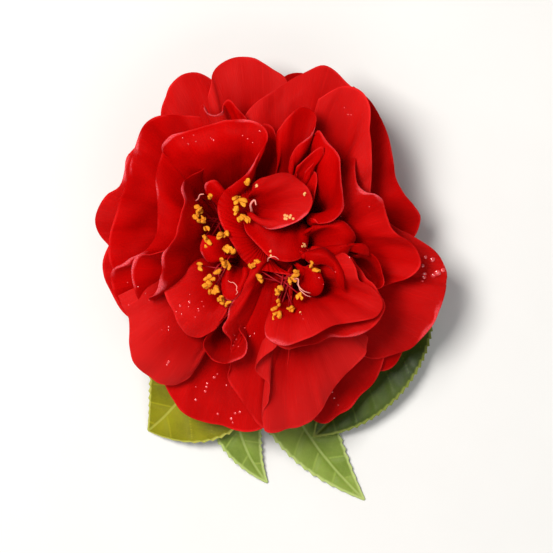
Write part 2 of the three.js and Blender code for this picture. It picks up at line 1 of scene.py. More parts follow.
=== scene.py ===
# %% [markdown]
# # A ruffled red camellia, picked with its twig and four leaves
# The flower lies face up on a pale table. It is a peony-form camellia: a ring of broad guard
# petals, then petals that nest and fold, then small twisted petaloids with golden stamens between
# them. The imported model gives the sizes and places. This script puts finer pieces in its place.

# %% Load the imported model
import math

import bpy
import numpy as np
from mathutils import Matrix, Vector


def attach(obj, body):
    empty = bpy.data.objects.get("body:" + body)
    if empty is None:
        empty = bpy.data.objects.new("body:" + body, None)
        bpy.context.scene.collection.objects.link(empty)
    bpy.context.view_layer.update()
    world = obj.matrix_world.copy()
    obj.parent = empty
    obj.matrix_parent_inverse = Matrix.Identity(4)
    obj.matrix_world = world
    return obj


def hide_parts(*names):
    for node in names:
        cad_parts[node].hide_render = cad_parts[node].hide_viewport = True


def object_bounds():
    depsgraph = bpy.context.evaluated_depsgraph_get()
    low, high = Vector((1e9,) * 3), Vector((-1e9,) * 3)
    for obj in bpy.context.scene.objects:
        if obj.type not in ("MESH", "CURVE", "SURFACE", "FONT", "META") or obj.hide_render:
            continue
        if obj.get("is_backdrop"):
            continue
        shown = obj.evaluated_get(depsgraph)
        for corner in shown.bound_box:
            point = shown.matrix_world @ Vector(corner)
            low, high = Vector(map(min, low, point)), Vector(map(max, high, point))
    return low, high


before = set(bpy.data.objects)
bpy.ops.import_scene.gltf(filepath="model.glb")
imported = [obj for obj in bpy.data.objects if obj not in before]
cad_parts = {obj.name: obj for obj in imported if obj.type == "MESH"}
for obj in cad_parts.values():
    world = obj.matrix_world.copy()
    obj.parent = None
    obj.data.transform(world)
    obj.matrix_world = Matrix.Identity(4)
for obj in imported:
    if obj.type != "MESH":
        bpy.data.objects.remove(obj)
cad_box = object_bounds()
MM = 0.001
BLOOM_AXIS = np.array([-0.9, 9.9, 0.0])  # mm, where the bloom's own axis stands in the frame
UP = np.array([0.0, 0.0, 1.0])
TURN = 2 * math.pi
print("CAD box in mm:", [[round(c / MM, 1) for c in corner] for corner in cad_box])

# %% [markdown]
# ## Node trees written as sums
# Materials and geometry trees are both made of nodes. Placing each node by hand hides what a
# finish computes, so a small class wraps an output socket and turns + - * / into Math nodes.
# Every other node comes from one method: its kind, its sockets, and its settings by name.


# %% A socket that does arithmetic, and the tree it lives in
def operator(operation, swapped=False):
    """An operator between a wire and another wire or a number: it adds one Math node."""
    def between(wire, other):
        return wire.maths(operation, *((other, wire) if swapped else (wire, other)))
    return between


class Wire:
    """An output socket. Arithmetic on it adds Math nodes to its tree."""

    __add__ = __radd__ = operator("ADD")
    __sub__, __rsub__ = operator("SUBTRACT"), operator("SUBTRACT", swapped=True)
    __mul__ = __rmul__ = operator("MULTIPLY")
    __truediv__, __rtruediv__ = operator("DIVIDE"), operator("DIVIDE", swapped=True)

    def __init__(self, tree, socket):
        self.tree, self.socket = tree, socket

    def out(self, name):
        return Wire(self.tree, self.socket.node.outputs[name])

    def maths(self, operation, *values):
        return self.tree.node("ShaderNodeMath", dict(enumerate(values)), operation=operation)

    def __abs__(self):
        return self.maths("ABSOLUTE", self)


class Tree:
    """A node tree that is being built, and the material that it belongs to, if any."""

    def __init__(self, nodes, material=None):
        self.nodes, self.material = nodes, material

    def node(self, kind, sockets=None, out=0, **settings):
        """A new node, as its output. Settings come first, then each socket's value or wires."""
        made = self.nodes.nodes.new(kind)
        for key, value in settings.items():
            setattr(made, key, value)
        for key, value in (sockets or {}).items():
            for wire in value if isinstance(value, list) else [value]:
                if isinstance(wire, Wire):
                    self.nodes.links.new(wire.socket, made.inputs[key])
                else:
                    made.inputs[key].default_value = wire
        return Wire(self, made.outputs[out]) if made.outputs else None

    def spot(self):
        """The place on the object."""
        return self.node("ShaderNodeTexCoord", None, "Object")

    def carried(self, name, out="Fac"):
        """What the points of the mesh carry under this name."""
        return self.node("ShaderNodeAttribute", None, out, attribute_name=name)

    def xyz(self, x=0.0, y=0.0, z=0.0):
        return self.node("ShaderNodeCombineXYZ", {"X": x, "Y": y, "Z": z})

    def vectors(self, operation, *values):
        return self.node("ShaderNodeVectorMath", dict(enumerate(values)), operation=operation)

    def noise(self, vector, scale, detail=2.0, roughness=0.5):
        sockets = {"Vector": vector, "Scale": scale, "Detail": detail, "Roughness": roughness}
        return self.node("ShaderNodeTexNoise", sockets)

    def fade(self, value, start, end):
        """1 up to start, 0 from end on, and smooth between. Either may be the greater."""
        sockets = {0: value, 1: start, 2: end, 3: 1, 4: 0}
        return self.node("ShaderNodeMapRange", sockets, interpolation_type="SMOOTHSTEP")

    def mix(self, first, second, amount):
        """The first colour where amount is 0, the second where it is 1."""
        first, second = [c if isinstance(c, Wire) else (*c, 1) for c in (first, second)]
        return self.node("ShaderNodeMix", {0: amount, 6: first, 7: second}, 2, data_type="RGBA")

    def layers(self, base, *coats):
        """Coats over a base colour. Each is a colour, a value, where that value shows the most
        of it and where none, and how much the most is."""
        for colour, value, start, end, share in coats:
            base = self.mix(base, colour, self.fade(value, start, end) * share)
        return base


def finish_tree(name):
    """The tree of a new material, with nothing in it."""
    material = bpy.data.materials.new(name)
    material.use_nodes = True
    material.node_tree.nodes.clear()
    return Tree(material.node_tree, material)


def flesh(weight, radius, scale):
    """How much light sinks in, how far its red, green and blue go, and the scale of that in mm."""
    return {"Subsurface Weight": weight, "Subsurface Radius": radius,
            "Subsurface Scale": scale * MM}


def surface(tree, colour, roughness, relief=None, depth=0.0, more=None):
    """Ends a finish in a Principled shader. Relief runs from 0 to 1, which is depth in mm."""
    sockets = {"Base Color": colour, "Roughness": roughness, **(more or {})}
    if relief:
        sockets["Normal"] = tree.node("ShaderNodeBump", {
            "Height": relief, "Distance": depth * MM, "Strength": 1.0})
    shader = tree.node("ShaderNodeBsdfPrincipled", sockets)
    tree.node("ShaderNodeOutputMaterial", {"Surface": shader})
    return tree.material


# %% [markdown]
# ## From points to a closed blade
# A petal or leaf is a thin sheet with two faces and a soft edge. A Solidify modifier would leave
# a square edge, so the sheet's two faces and a rounded rim are laid out together. Each point
# keeps a few numbers with it, such as its distance from the edge, which the finish then reads.


# %% Lines and sheets of points
FINE = 24  # points worked out between two given points of a curve


def unit(vectors):
    length = np.linalg.norm(vectors, axis=-1, keepdims=True)
    return vectors / np.maximum(length, 1e-9)


def level(vectors):
    return unit(vectors * [1, 1, 0])


def walked(points):
    """How far each point lies along a line of points."""
    return np.concatenate([[0], np.cumsum(np.linalg.norm(np.diff(points, axis=0), axis=1))])


def bend(u, a, b, c, d):
    """A curve from a to d as u goes from 0 to 1. It sets out towards b and comes in from c."""
    return (1 - u) ** 3 * a + 3 * u * (1 - u) ** 2 * b + 3 * u**2 * (1 - u) * c + u**3 * d


def smooth_curve(points, count):
    """count + 1 points, evenly spaced, on a smooth curve through the given ones."""
    p = np.array(points, float)
    p = np.vstack([2 * p[0] - p[1], p, 2 * p[-1] - p[-2]])
    t = np.linspace(0, 1, FINE, endpoint=False)[:, None]
    fine = []
    for a, b, c, d in zip(p, p[1:], p[2:], p[3:]):
        ab, bc, cd = [math.sqrt(np.linalg.norm(q - r)) for q, r in ((a, b), (b, c), (c, d))]
        leave = bc * ((b - a) / ab - (c - a) / (ab + bc) + (c - b) / bc)
        arrive = bc * ((c - b) / bc - (d - b) / (bc + cd) + (d - c) / cd)
        fine.append(b + leave * t + (3 * (c - b) - 2 * leave - arrive) * t**2
                    + (2 * (b - c) + leave + arrive) * t**3)
    fine = np.vstack([*fine, p[-2:-1]])
    way = walked(fine)
    places = np.linspace(0, way[-1], count + 1)
    return np.stack([np.interp(places, way, fine[:, k]) for k in range(3)], axis=1)


def directions(rows):
    """Along and across a sheet of rows of points, and square to both."""
    along, across = np.gradient(rows, axis=0), np.gradient(rows, axis=1)
    return unit(along), unit(across), unit(np.cross(across, along))


# %% Closed shells: their points, their faces, and what their points carry
def closed_sheet(rows, thick, extras):
    """A blade with a rounded edge. extras: a number or vector for every point of the sheet."""
    n, m = rows.shape[:2]
    along, across, normal = directions(rows)
    half = (np.broadcast_to(thick, (n, m)) / 2)[..., None]
    at = np.arange(n * m).reshape(n, m)
    border = np.concatenate([at[0], at[1:, -1], at[-1, -2::-1], at[-2:0:-1, 0]])
    out = np.zeros((n, m, 3))
    out[0] -= along[0]
    out[-1] += along[-1]
    out[:, 0] -= across[:, 0]
    out[:, -1] += across[:, -1]
    edge = (rows + unit(out) * half).reshape(-1, 3)[border]
    front, back = [(rows + sign * normal * half).reshape(-1, 3) for sign in (1, -1)]
    quads = np.stack([at[:-1, :-1], at[:-1, 1:], at[1:, 1:], at[1:, :-1]], axis=-1).reshape(-1, 4)
    following = np.roll(border, -1)
    rim = 2 * n * m + np.arange(len(border))
    turn = np.roll(rim, -1)
    faces = [quads, quads[:, ::-1] + n * m,
             np.stack([border + n * m, following + n * m, turn, rim], axis=1),
             np.stack([rim, turn, following, border], axis=1)]
    source = np.concatenate([at.ravel(), at.ravel(), border])
    extras = {key: value.reshape(n * m, -1)[source] for key, value in extras.items()}
    return np.vstack([front, back, edge]), np.vstack(faces).tolist(), extras


def capped(rings, ends):
    """A shell of rings of points, with the two end points fanned to the first and last ring."""
    n, count = rings.shape[:2]
    at = np.arange(n * count).reshape(n, count)
    after = np.roll(at, -1, axis=1)
    quads = np.stack([at[:-1], after[:-1], after[1:], at[1:]], axis=-1).reshape(-1, 4)
    foot, top = n * count, n * count + 1
    fans = [[foot, b, a] for a, b in zip(at[0], after[0])]
    fans += [[top, a, b] for a, b in zip(at[-1], after[-1])]
    return np.vstack([rings.reshape(-1, 3), ends]), quads.tolist() + fans, {}


def tube(path, radii, sides):
    """A round bar along a path, with a radius for every point of the path or of its rings."""
    path = np.asarray(path, float)
    ahead = unit(np.gradient(path, axis=0))
    right = unit(np.cross(ahead, UP + 1e-3))
    top = np.cross(right, ahead)
    angle = np.linspace(0, TURN, sides, endpoint=False)[:, None]
    ring = np.cos(angle) * right[:, None] + np.sin(angle) * top[:, None]
    radii = np.asarray(radii, float).reshape(len(path), -1, 1)
    points, faces, _ = capped(path[:, None] + ring * radii, path[[0, -1]])
    return points, [face[::-1] for face in faces], {}


def turned(profile, count=48):
    """A profile of (radius, height) points turned about the bloom's axis."""
    radius, height = np.array(profile, float).T[..., None]
    angle = np.linspace(0, TURN, count, endpoint=False)
    rings = np.stack([radius * np.cos(angle), radius * np.sin(angle), height + 0 * angle], axis=-1)
    return capped(rings, [[0, 0, *height[0]], [0, 0, *height[-1]]])


# %% Meshes and objects made of them
def raw_mesh(name, points, edges=(), faces=()):
    """A mesh from points in millimetres about the bloom's axis."""
    mesh = bpy.data.meshes.new(name)
    mesh.from_pydata(((np.asarray(points) + BLOOM_AXIS) * MM).tolist(), edges, faces)
    return mesh


def add(name, data):
    """A mesh, lamp or camera put into the scene."""
    made = bpy.data.objects.new(name, data)
    bpy.context.scene.collection.objects.link(made)
    return made


def mesh_object(name, shells, materials):
    """One object from closed shells. Shell k wears material k, or the last one."""
    points, faces, worn, extras, start = [], [], [], {}, 0
    for number, (p, f, more) in enumerate(shells):
        points.append(p)
        faces += [[start + v for v in face] for face in f]
        worn += [min(number, len(materials) - 1)] * len(f)
        for key, value in more.items():
            extras.setdefault(key, []).append((start, value))
        start += len(p)
    mesh = raw_mesh(name, np.vstack(points), (), faces)
    mesh.polygons.foreach_set("use_smooth", [True] * len(faces))
    mesh.polygons.foreach_set("material_index", worn)
    for key, parts in extras.items():
        width = parts[0][1].shape[1]
        whole = np.zeros((start, width))
        for first, value in parts:
            whole[first:first + len(value)] = value
        made = mesh.attributes.new(key, "FLOAT" if width == 1 else "FLOAT_VECTOR", "POINT")
        made.data.foreach_set("value" if width == 1 else "vector", whole.ravel())
    for material in materials:
        mesh.materials.append(material)
    return add(name, mesh)


def place(piece, slot, *nodes):
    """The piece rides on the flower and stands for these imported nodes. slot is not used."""
    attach(piece, "root")
    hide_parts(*nodes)


# %% [markdown]
# ## The finish of a petal
# A camellia petal is satin, not glossy: fine ribs fan out from its foot, light sinks in and comes
# back a deeper red, and the thin rim turns pale where it curls, partly its own paler edge and partly
# a painted highlight. The outer parts of petals that face up get a painted pink sheen for the sky's
# reflection. Each point carries its place on the fan, so the ribs follow every fold. One material
# serves all petals, and the third number of the fan, which differs from petal to petal, shifts its
# pattern.


# %% Petal red
def petal_finish():
    tree = finish_tree("petal_satin")
    fan = tree.carried("fan", "Vector")
    edge, pale, depth, blush = [tree.carried(key) for key in ("edge", "pale", "reach", "blush")]
    ribs = tree.noise(tree.vectors("MULTIPLY", fan, (2.4, 0.09, 5.3)), 1.0, 3.0, 0.6)
    clouds = tree.noise(tree.vectors("MULTIPLY", fan, (0.09, 0.06, 3.1)), 1.0)
    grain = tree.noise(fan, 3.5)
    colour = tree.layers((0.38, 0.0004, 0.0003), ((0.50, 0.0008, 0.0006), clouds, 0.7, 0.3, 1))
    # Painted sheen: in patches, the outer parts of petals that face up turn rosy, for the sky's
    # reflection.
    colour = tree.mix(colour, (0.60, 0.014, 0.013), blush * (0.35 + 0.6 * clouds))
    colour = tree.layers(colour, ((0.28, 0.0003, 0.0003), ribs, 0.47, 0.3, 0.25),
                         ((0.23, 0.0002, 0.0003), depth, 0.2, 0.9, 0.75))
    thin = tree.fade(edge, 0.2, 0.9) * tree.fade(clouds, 0.6, 0.4) * 0.5
    colour = tree.mix(colour, (0.70, 0.018, 0.018), thin)
    # Pale rims: partly the petal's own paler rolled edge, partly a painted highlight where it rolls
    # up into the light.
    pale_lit_rim = pale * (0.25 + 0.65 * tree.fade(grain, 0.6, 0.38))
    colour = tree.mix(colour, (0.80, 0.11, 0.13), pale_lit_rim)
    return surface(tree, colour, 0.5 + 0.1 * ribs, ribs * 0.7 + grain * 0.3, 0.09, {
        **flesh(0.35, (1.0, 0.04, 0.03), 1.2), "Specular IOR Level": 0.02,
        "Sheen Weight": 0.02, "Sheen Roughness": 0.35, "Sheen Tint": (1.0, 0.12, 0.15, 1.0)})


PETAL = petal_finish()
print("petal finish:", len(PETAL.node_tree.nodes), "nodes")

# %% [markdown]
# ## The petals
# A petal is known by its rim: the line that a folded, ruffled edge draws in space. Each one is
# listed by its foot on the receptacle, half the width of that foot, the slopes in degrees at
# which it leaves the foot and meets the rim, the height of its slow wave, and the points that
# its rim passes through. Ribs run from the foot to the rim as smooth curves, and a ruffle grows
# towards the edge. Sculpting by hand would give such folds too, but they could no longer be
# read or changed.

# %% How a petal is spun from its rim
draw = np.random.default_rng(7)
PAINTED_SHEEN = {  # how much painted pink sheen the outer part of a petal gets, for the sky's reflection
    "guard_top": 1.0, "guard_top_left": 0.5, "guard_right": 0.6, "broad_top": 0.7,
    "tall_top_right": 0.9, "guard_bright_left": 1.4, "guard_low_left": 0.3,
    "broad_bottom": 1.2, "broad_left": 0.4, "guard_left": 0.4, "guard_left_low": 0.3,
    "guard_low_right": 0.3, "guard_behind_right": 0.1, "ball": 0.6, "long_right": 0.2,
    "cup_upper": 0.6, "cup_lower": 0.3, "tongue_left": 0.7, "lip": 0.6, "curl_low": 0.4,
}
RIDGES = {"throat": 0.13, "broad_bottom": 0.05, "guard_right": 0.05, "scoop": 0.04}  # mm high
FINER = {"throat": 0.35}  # mm between points, where the ridges show
THICK = 0.42  # mm, at the middle of a petal
RIM_STEPS = np.array([1.5, 1.0, 0.6, 0.3, 0.0])  # mm from the rim, for the last rows
RUFFLES = ((17, 0.35), (9, 0.2), (5, 0.1))  # mm from crest to crest, and how high
DENT = 0.009  # height of a dent, as a share of its length
SIDE_EDGE = 0.5  # mm that the sides of a petal count as further in than its rim
RIM_CURL = 0.5  # mm that a pale rim curls up
PALE_END = 0.06  # share of the rim over which a pale stretch comes in and goes out


def ramp_up(x):
    x = np.clip(x, 0, 1)
    return x * x * (3 - 2 * x)


def petal_rows(foot, half, rise, tip, wave, rim, pull, bow, rows, columns):
    """The middle surface of a petal, with u from its foot to its rim and v along the rim. pull
    says how stiffly it holds each of its two slopes, and bow bends it sideways on its way."""
    ends = smooth_curve(rim, columns)
    centre = np.array(foot, float)
    v = np.linspace(0, 1, columns + 1)[:, None]
    axis = level(ends.mean(0) - centre)
    side = np.array([-axis[1], axis[0], 0.0])
    side *= np.sign(side @ (ends[-1] - ends[0]))
    starts = centre + side * half * (2 * v - 1)
    out = level(ends - starts)
    length = np.linalg.norm(ends - starts, axis=1, keepdims=True)
    rise, tips = math.radians(rise), np.radians(np.atleast_1d(tip))
    tip = np.interp(v, np.linspace(0, 1, len(tips)), tips)
    climb = math.cos(rise) * unit(out + axis) + math.sin(rise) * UP
    leave = starts + pull[0] * length * climb + bow
    arrive = ends - pull[1] * length * (np.cos(tip) * out + np.sin(tip) * UP) + bow
    last = 1 - RIM_STEPS / length.mean()
    u = np.concatenate([np.linspace(0, last[0], rows, endpoint=False), last])
    closer = u * (1.25 - 0.25 * u)  # rows stand closer together towards the rim
    sheet = bend(closer[:, None, None], starts, leave, arrive, ends)
    u, v = u[:, None], v.T
    normal = directions(sheet)[2]
    sheet = sheet + (wave * u**2.5 * np.sin(2 * TURN * v + 0.4))[..., None] * normal
    return sheet, u, v, length.mean()


def petal(name, number, step, pale, foot, half, rise, tip, wave, rim, pull=(0.35, 0.35),
          bow=(0, 0, 0)):
    """A finished petal. pale: the stretches of its rim, from 0 to 1, that roll up and turn
    pale, partly their own paler edge and partly a painted highlight.
    """
    around = walked(smooth_curve(rim, 60))[-1]
    step = FINER.get(name, step)
    columns = int(around / step)
    rows = int(0.75 * np.linalg.norm(np.mean(rim, 0) - foot) / step)
    sheet, u, v, length = petal_rows(foot, half, rise, tip, wave, rim, pull, bow, rows, columns)
    normal = directions(sheet)[2]
    flutter = dents = curl_and_highlight = 0 * u * v
    for crest, size in RUFFLES:
        phase, lean = draw.uniform(0, TURN), draw.uniform(-2, 2)
        flutter = flutter + size * np.sin(TURN * (around / crest) * v + phase + lean * u)
    billow = min(0.55, 0.012 * around) / np.maximum(u, 0.35) ** 2  # mm, more on large petals
    for _ in range(4):
        phase, up, over = draw.uniform(0, 6.28), draw.uniform(3, 9), draw.uniform(3, 11)
        flutter = flutter + billow * np.sin(up * u + over * v + phase)
    for _ in range(6):
        period, heading, phase = draw.uniform(7, 15), draw.uniform(0, 3.14), draw.uniform(0, 6.28)
        along = u * length * math.cos(heading) + v * around * math.sin(heading)
        dents = dents + DENT * period * np.sin(TURN * along / period + phase)
    ridges = RIDGES.get(name, 0.02) * np.sin(around * v * 4.2 + 1.5 * np.sin(9 * v))
    edge = np.minimum((1 - u) * length, np.minimum(v, 1 - v) * around * u + SIDE_EDGE)
    for start, end, width, strength in pale:
        stretch = ramp_up((v - start) / PALE_END) * ramp_up((end - v) / PALE_END)
        width = width * (0.75 + 0.35 * np.sin(around * v * 0.9 + number))
        curl_and_highlight = np.maximum(curl_and_highlight, strength * stretch * ramp_up(1.8 - edge / width))
    lift = flutter * u**2.5 * 0.8 + (dents + ridges) * ramp_up(2 * u)
    lift = lift + RIM_CURL * curl_and_highlight * np.exp(-edge / 0.8)
    sheet = sheet + lift[..., None] * normal
    fan = np.stack(np.broadcast_arrays(v * around, u * length, 1.7 * number), axis=-1)
    thick = THICK * (0.5 + 0.5 * ramp_up(edge / 2.5))
    # Painted sheen, rising towards the outer part of the petal.
    sheen_share = PAINTED_SHEEN.get(name, 0.0) * ramp_up((u - 0.45) / 0.55)
    extras = {"fan": fan, "edge": edge, "pale": curl_and_highlight, "reach": u + 0 * v,
              "blush": sheen_share + 0 * v}
    made = mesh_object(name, [closed_sheet(sheet, thick, extras)], [PETAL])
    place(made, "petal_red", "petals")
    return made


# %% [markdown]
# ## Guard petals
# Eleven broad petals lie outermost and lowest. They are nearly flat, with a notch here and there,
# and the one at the back droops until it touches the table.

# %% The outer ring
GUARD_PETALS = {
    "guard_back": ([3, 5, 13.4], 4, 5, -30, 0.6, [[-6, 34, 13], [-2, 43, 6], [3, 48.5, 1.2],
        [8.5, 50.3, 0.4], [13.5, 48.8, 1], [18, 42, 7]]),
    "guard_behind_right": ([6, 2, 14], 4, 30, 0, 0.6, [[24, 45, 24], [28.5, 41, 25], [31, 37, 26],
        [33.5, 31, 27], [35, 24, 27], [35.8, 19, 26], [38, 15, 25], [41, 11.5, 23], [43, 8, 21],
        [42, 4, 20], [36, -2, 20]]),
    "guard_small_right": ([5, -4, 13.4], 3, 14, -20, 0.5, [[42, -20, 19], [39, -27, 17],
        [37, -32, 15], [33.5, -35, 15], [28, -35, 16]]),
    "guard_low_right": ([3, -5, 13.4], 4, 18, -20, 0.6, [[33, -28, 18], [31.5, -35, 16],
        [29.5, -39.5, 15], [25.5, -43, 14], [23, -45.8, 14], [20, -47.2, 14], [17.5, -49, 13],
        [14, -49.3, 13], [9, -46, 15]]),
    "guard_low_left": ([-3, -5, 13.4], 5, 20, -15, 0.8, [[-30, -33, 21], [-29, -39, 20],
        [-27, -43, 18], [-24, -46.5, 17], [-19, -49.3, 16], [-13.5, -50.3, 16], [-9, -51.6, 16],
        [-3, -51.5, 16], [3, -48, 17]]),
    "guard_left_low": ([-6, -2, 13.4], 4, 20, -5, 0.6, [[-42, 5, 22], [-45, 0, 22],
        [-46.4, -4, 21], [-46.2, -8, 20], [-44.6, -12, 19], [-41, -18, 18], [-36, -22, 18]]),
    "guard_left": ([-6, 3, 13.6], 4, 28, 0, 0.6, [[-33, 32, 26], [-37, 28, 27], [-39.4, 25, 28],
        [-40, 21, 28], [-41.3, 17, 28], [-45, 14.5, 27], [-47.6, 10.5, 26], [-48.3, 7, 25],
        [-46.8, 3, 24], [-43, -1, 24]]),
    "guard_top": ([-2, 6, 15.5], 4, 25, -12, 0.6, [[-15, 37, 27], [-16, 44, 27], [-15.3, 49, 26],
        [-12.5, 52, 25], [-9, 53.2, 25], [-4, 53, 25], [-1, 51.8, 25], [2.5, 49.5, 25],
        [5, 47, 25], [7, 42, 26]]),
    "guard_top_left": ([-4, 5, 15], 4, 28, -8, 0.6, [[-29, 28, 27], [-30, 36, 26], [-29.3, 41, 25],
        [-27.5, 45, 25], [-23.5, 48.3, 24], [-19.5, 49, 24], [-16, 47.5, 24], [-12.5, 42, 25]]),
    "guard_bright_left": ([-7, -4, 19], 4, 62, -35, 0.6, [[-41.5, -13.5, 31.5], [-39.3, -18, 30.5],
        [-38.4, -22, 29.5], [-38.2, -25, 28], [-37.6, -30, 26], [-35.5, -34.5, 25],
        [-31.5, -38.2, 24], [-28, -39.5, 23], [-25, -39.4, 23], [-22.5, -37.5, 23], [-20, -34, 24],
        [-18, -28.5, 26], [-16, -23, 28]], (0.45, 0.4)),
    "guard_right": ([6, -2, 15.5], 5, 35, -12, 1.0, [[30, 10, 28], [36, 5, 27], [41, 2.5, 26],
        [45.5, 0, 25], [48.5, -3, 24], [50.2, -7.6, 23], [50, -10, 21.2], [49.4, -12.6, 22.6],
        [47, -20, 21], [44, -24.5, 20], [40, -28.5, 20], [35, -30.7, 20], [29, -31.4, 21],
        [23, -29, 23]]),
}

# %% [markdown]
# ## Nested petals
# Inside the guards stand fourteen petals that wrap round each other, most of all on the left,
# where four nest like bowls round a deep pocket, and a folded one makes a scoop above it.

# %% The middle layers
MIDDLE_PETALS = {
    "broad_left": ([3, -4, 23], 3, 85, [0, 0, -5, -15, -30, -25, -25, -20, -10], 0.4,
        [[-5, -5.6, 42.3], [-6.8, -10, 43.5], [-8.3, -14, 43.5], [-10.2, -18.5, 42.5],
        [-11.8, -23, 41.5], [-10, -25.8, 37], [-9.3, -29, 33.5], [-10.6, -33, 31], [-11, -37, 29],
        [-8, -42, 27], [-5, -46.5, 25], [-2.5, -50, 23], [0.5, -51.2, 21.5], [3, -46, 23.5],
        [5, -40, 27], [6, -33, 31], [6.5, -27, 34], [6.5, -21, 37], [6.5, -15, 39], [6, -10, 40]],
        (0.75, 0.4)),
    "broad_bottom": ([4, -5, 23], 3, 62, [15, 5, -20, -30, -33, -33, -30, -25], 0.5, [[5, -23, 39],
        [2.2, -28, 39.5], [-1, -31.3, 38.5], [-1.8, -35.3, 36.5], [0.9, -38.6, 34], [0, -43, 30.5],
        [-2, -47.3, 26.5], [-1.4, -50.4, 24], [1.8, -51.6, 23], [6, -50.6, 22], [11, -49, 23],
        [14.5, -46, 24], [17, -42, 26], [20, -37.5, 28], [24.5, -33, 30], [28, -29.5, 31],
        [28.5, -25, 30]], (0.5, 0.5)),
    "broad_top": ([3, 5, 18], 4, 40, -12, 1.0, [[-8, 32, 33], [-6, 36.5, 33], [-2.5, 40.5, 33],
        [2, 43.5, 32], [6, 46.2, 31], [10.5, 48.5, 30], [15, 50.4, 29], [18, 49.8, 29],
        [21.5, 46.8, 30], [24.5, 43.5, 31], [27, 38, 32]]),
    "tall_top_right": ([7, 6, 18], 4, 45, 20, 0.8, [[14, 41, 34], [20, 44.6, 35], [23.5, 44.3, 36],
        [26.5, 42, 37], [28, 38.5, 38], [28.6, 33, 39], [28.8, 27, 39], [28.6, 21, 38],
        [28, 14, 36], [27, 8, 34]]),
    "long_right": ([8, 1, 18], 4, 50, -5, 0.5, [[25.2, 29, 30], [24.4, 24.5, 37.5], [24, 20, 41],
        [24.8, 16.8, 42], [27, 14.8, 42], [29.6, 14.3, 41.5], [31.7, 12.7, 41], [32.3, 10.8, 40],
        [33, 8, 39], [34.5, 4.5, 38], [38.5, 2, 36], [41.5, -1.5, 34], [42.4, -5, 32],
        [39.5, -8, 31], [35, -10, 31], [30, -12, 32]]),
    "bowl_outer": ([-6, 5, 18], 4, 45, 5, 0.6, [[-18, 36, 33], [-25, 36.5, 34], [-31, 36, 35],
        [-34.6, 33, 37], [-36, 28.5, 39], [-37.6, 23.5, 40], [-38.7, 18, 39], [-40.5, 13.5, 37],
        [-42, 9, 35], [-43.6, 5, 32.5], [-44.3, 0, 31.5], [-43.6, -5, 31.5], [-40.5, -9, 31]]),
    "bowl_second": ([-6, -1, 18], 4, 45, -5, 0.2, [[-29, 26, 40], [-30.7, 19, 43], [-30.2, 13, 44],
        [-30.1, 8, 44], [-30.5, 3.5, 43], [-32.4, 0, 41.5], [-35, -2.4, 39.5], [-37.9, -4.5, 37.5],
        [-41, -6.6, 35.5], [-43.4, -8.4, 33.5], [-43, -12.5, 31], [-40, -17.5, 29],
        [-36, -20.8, 28], [-30, -22.5, 29], [-23, -24, 30]]),
    "bowl_third": ([-6, -2, 20], 3, 15, [75, 60, 30, 10, 5, 5, 5], 0.3, [[-24.5, 4, 43],
        [-27.5, -1.3, 43], [-31.5, -2.8, 43], [-35.3, -5, 41], [-37, -8.5, 39], [-36.6, -12, 37],
        [-35.8, -14.8, 33], [-33, -17, 27.5], [-28, -19, 25]]),
    "scoop_back": ([-1, 6, 20], 3, 50, 25, 0.4, [[-8, 31, 37], [-4, 33.3, 38], [0, 33.6, 38.5],
        [2.6, 31, 38.5], [3.6, 27, 38.5], [4.4, 23, 38], [5, 20, 37.5]]),
    "scoop": ([-7, 6, 20], 3, 30, [-25, -30, -30, -20, 5, 30, 30], 0.3, [[-25, 18, 36],
        [-28.5, 23, 37.5], [-29, 27, 39], [-26, 30, 42], [-21, 32, 44], [-15.5, 33.6, 45],
        [-10, 34.4, 46], [-5.5, 34.4, 47], [-2, 33.2, 49], [-0.4, 31, 50], [-0.8, 28, 50.5],
        [-3, 24.4, 49], [-6.4, 20, 47], [-9.7, 17, 45], [-12.5, 14.5, 42]], (0.5, 0.35)),
    "bowl_inner": ([-7, 1, 20], 3, 30, [75, 70, 65, 55, 30, 0, -5], 0.3, [[-15.5, 24, 36],
        [-18, 22.2, 39], [-21, 20, 42], [-23.8, 18.2, 45], [-24, 15.8, 47.5], [-22.6, 13, 49],
        [-22.9, 9, 50], [-24, 4.5, 50], [-26, 0, 49], [-27.8, -4, 47], [-28.8, -8, 45],
        [-30.2, -12, 42], [-33, -14, 37.5], [-31.8, -15, 33], [-28.5, -15.8, 29],
        [-25, -16.5, 27]]),
    "tongue_left": ([-6, -4, 22], 3, 60, [20, 10, -10, -20, -25, -20], 0.3, [[-22.5, -4, 34],
        [-27, -7, 38], [-28.8, -10.5, 38.5], [-28, -14, 38], [-26, -17.5, 37], [-24.8, -21, 36.5],
        [-22.3, -25, 36], [-19.5, -25.6, 36], [-16.5, -24, 37], [-13.5, -21.5, 39],
        [-11, -16, 40]], (0.5, 0.4)),
    "cup_lower": ([6, -4, 20], 4, 45, 5, 0.4, [[1, -26, 40], [5, -28.2, 41], [9, -27.4, 41],
        [13.5, -26.6, 41], [17, -24.8, 42], [21, -24.7, 42], [25, -24.2, 42], [28.5, -22.4, 42],
        [31, -19.5, 42], [32.3, -16, 42], [30.5, -12, 43], [28, -8.8, 43], [25.5, -6.5, 44],
        [23, -3, 44]]),
    "cup_upper": ([6, -6, 22], 3, 48, 8, 0.6, [[1.5, -16, 41], [-0.6, -20, 45], [-1.3, -23.2, 49],
        [0.5, -25.5, 50], [4.5, -27, 50], [8.5, -26, 49], [12.5, -24.4, 49], [17, -22, 48],
        [21, -20.7, 47], [26, -20, 46], [30, -18.7, 45], [31.3, -15.8, 45], [28.5, -12.3, 46],
        [25, -9.8, 47], [23.7, -5.5, 48.6], [21.8, -2.6, 47.5], [19.5, -2.2, 45], [17, -3.5, 42]]),
}

# %% [markdown]
# ## Petaloids
# Camellias of this form turn many of their stamens into small, twisted petals. Eighteen fill the
# middle: a round one at the top, wedges and folds to its right, lobes and cups below.

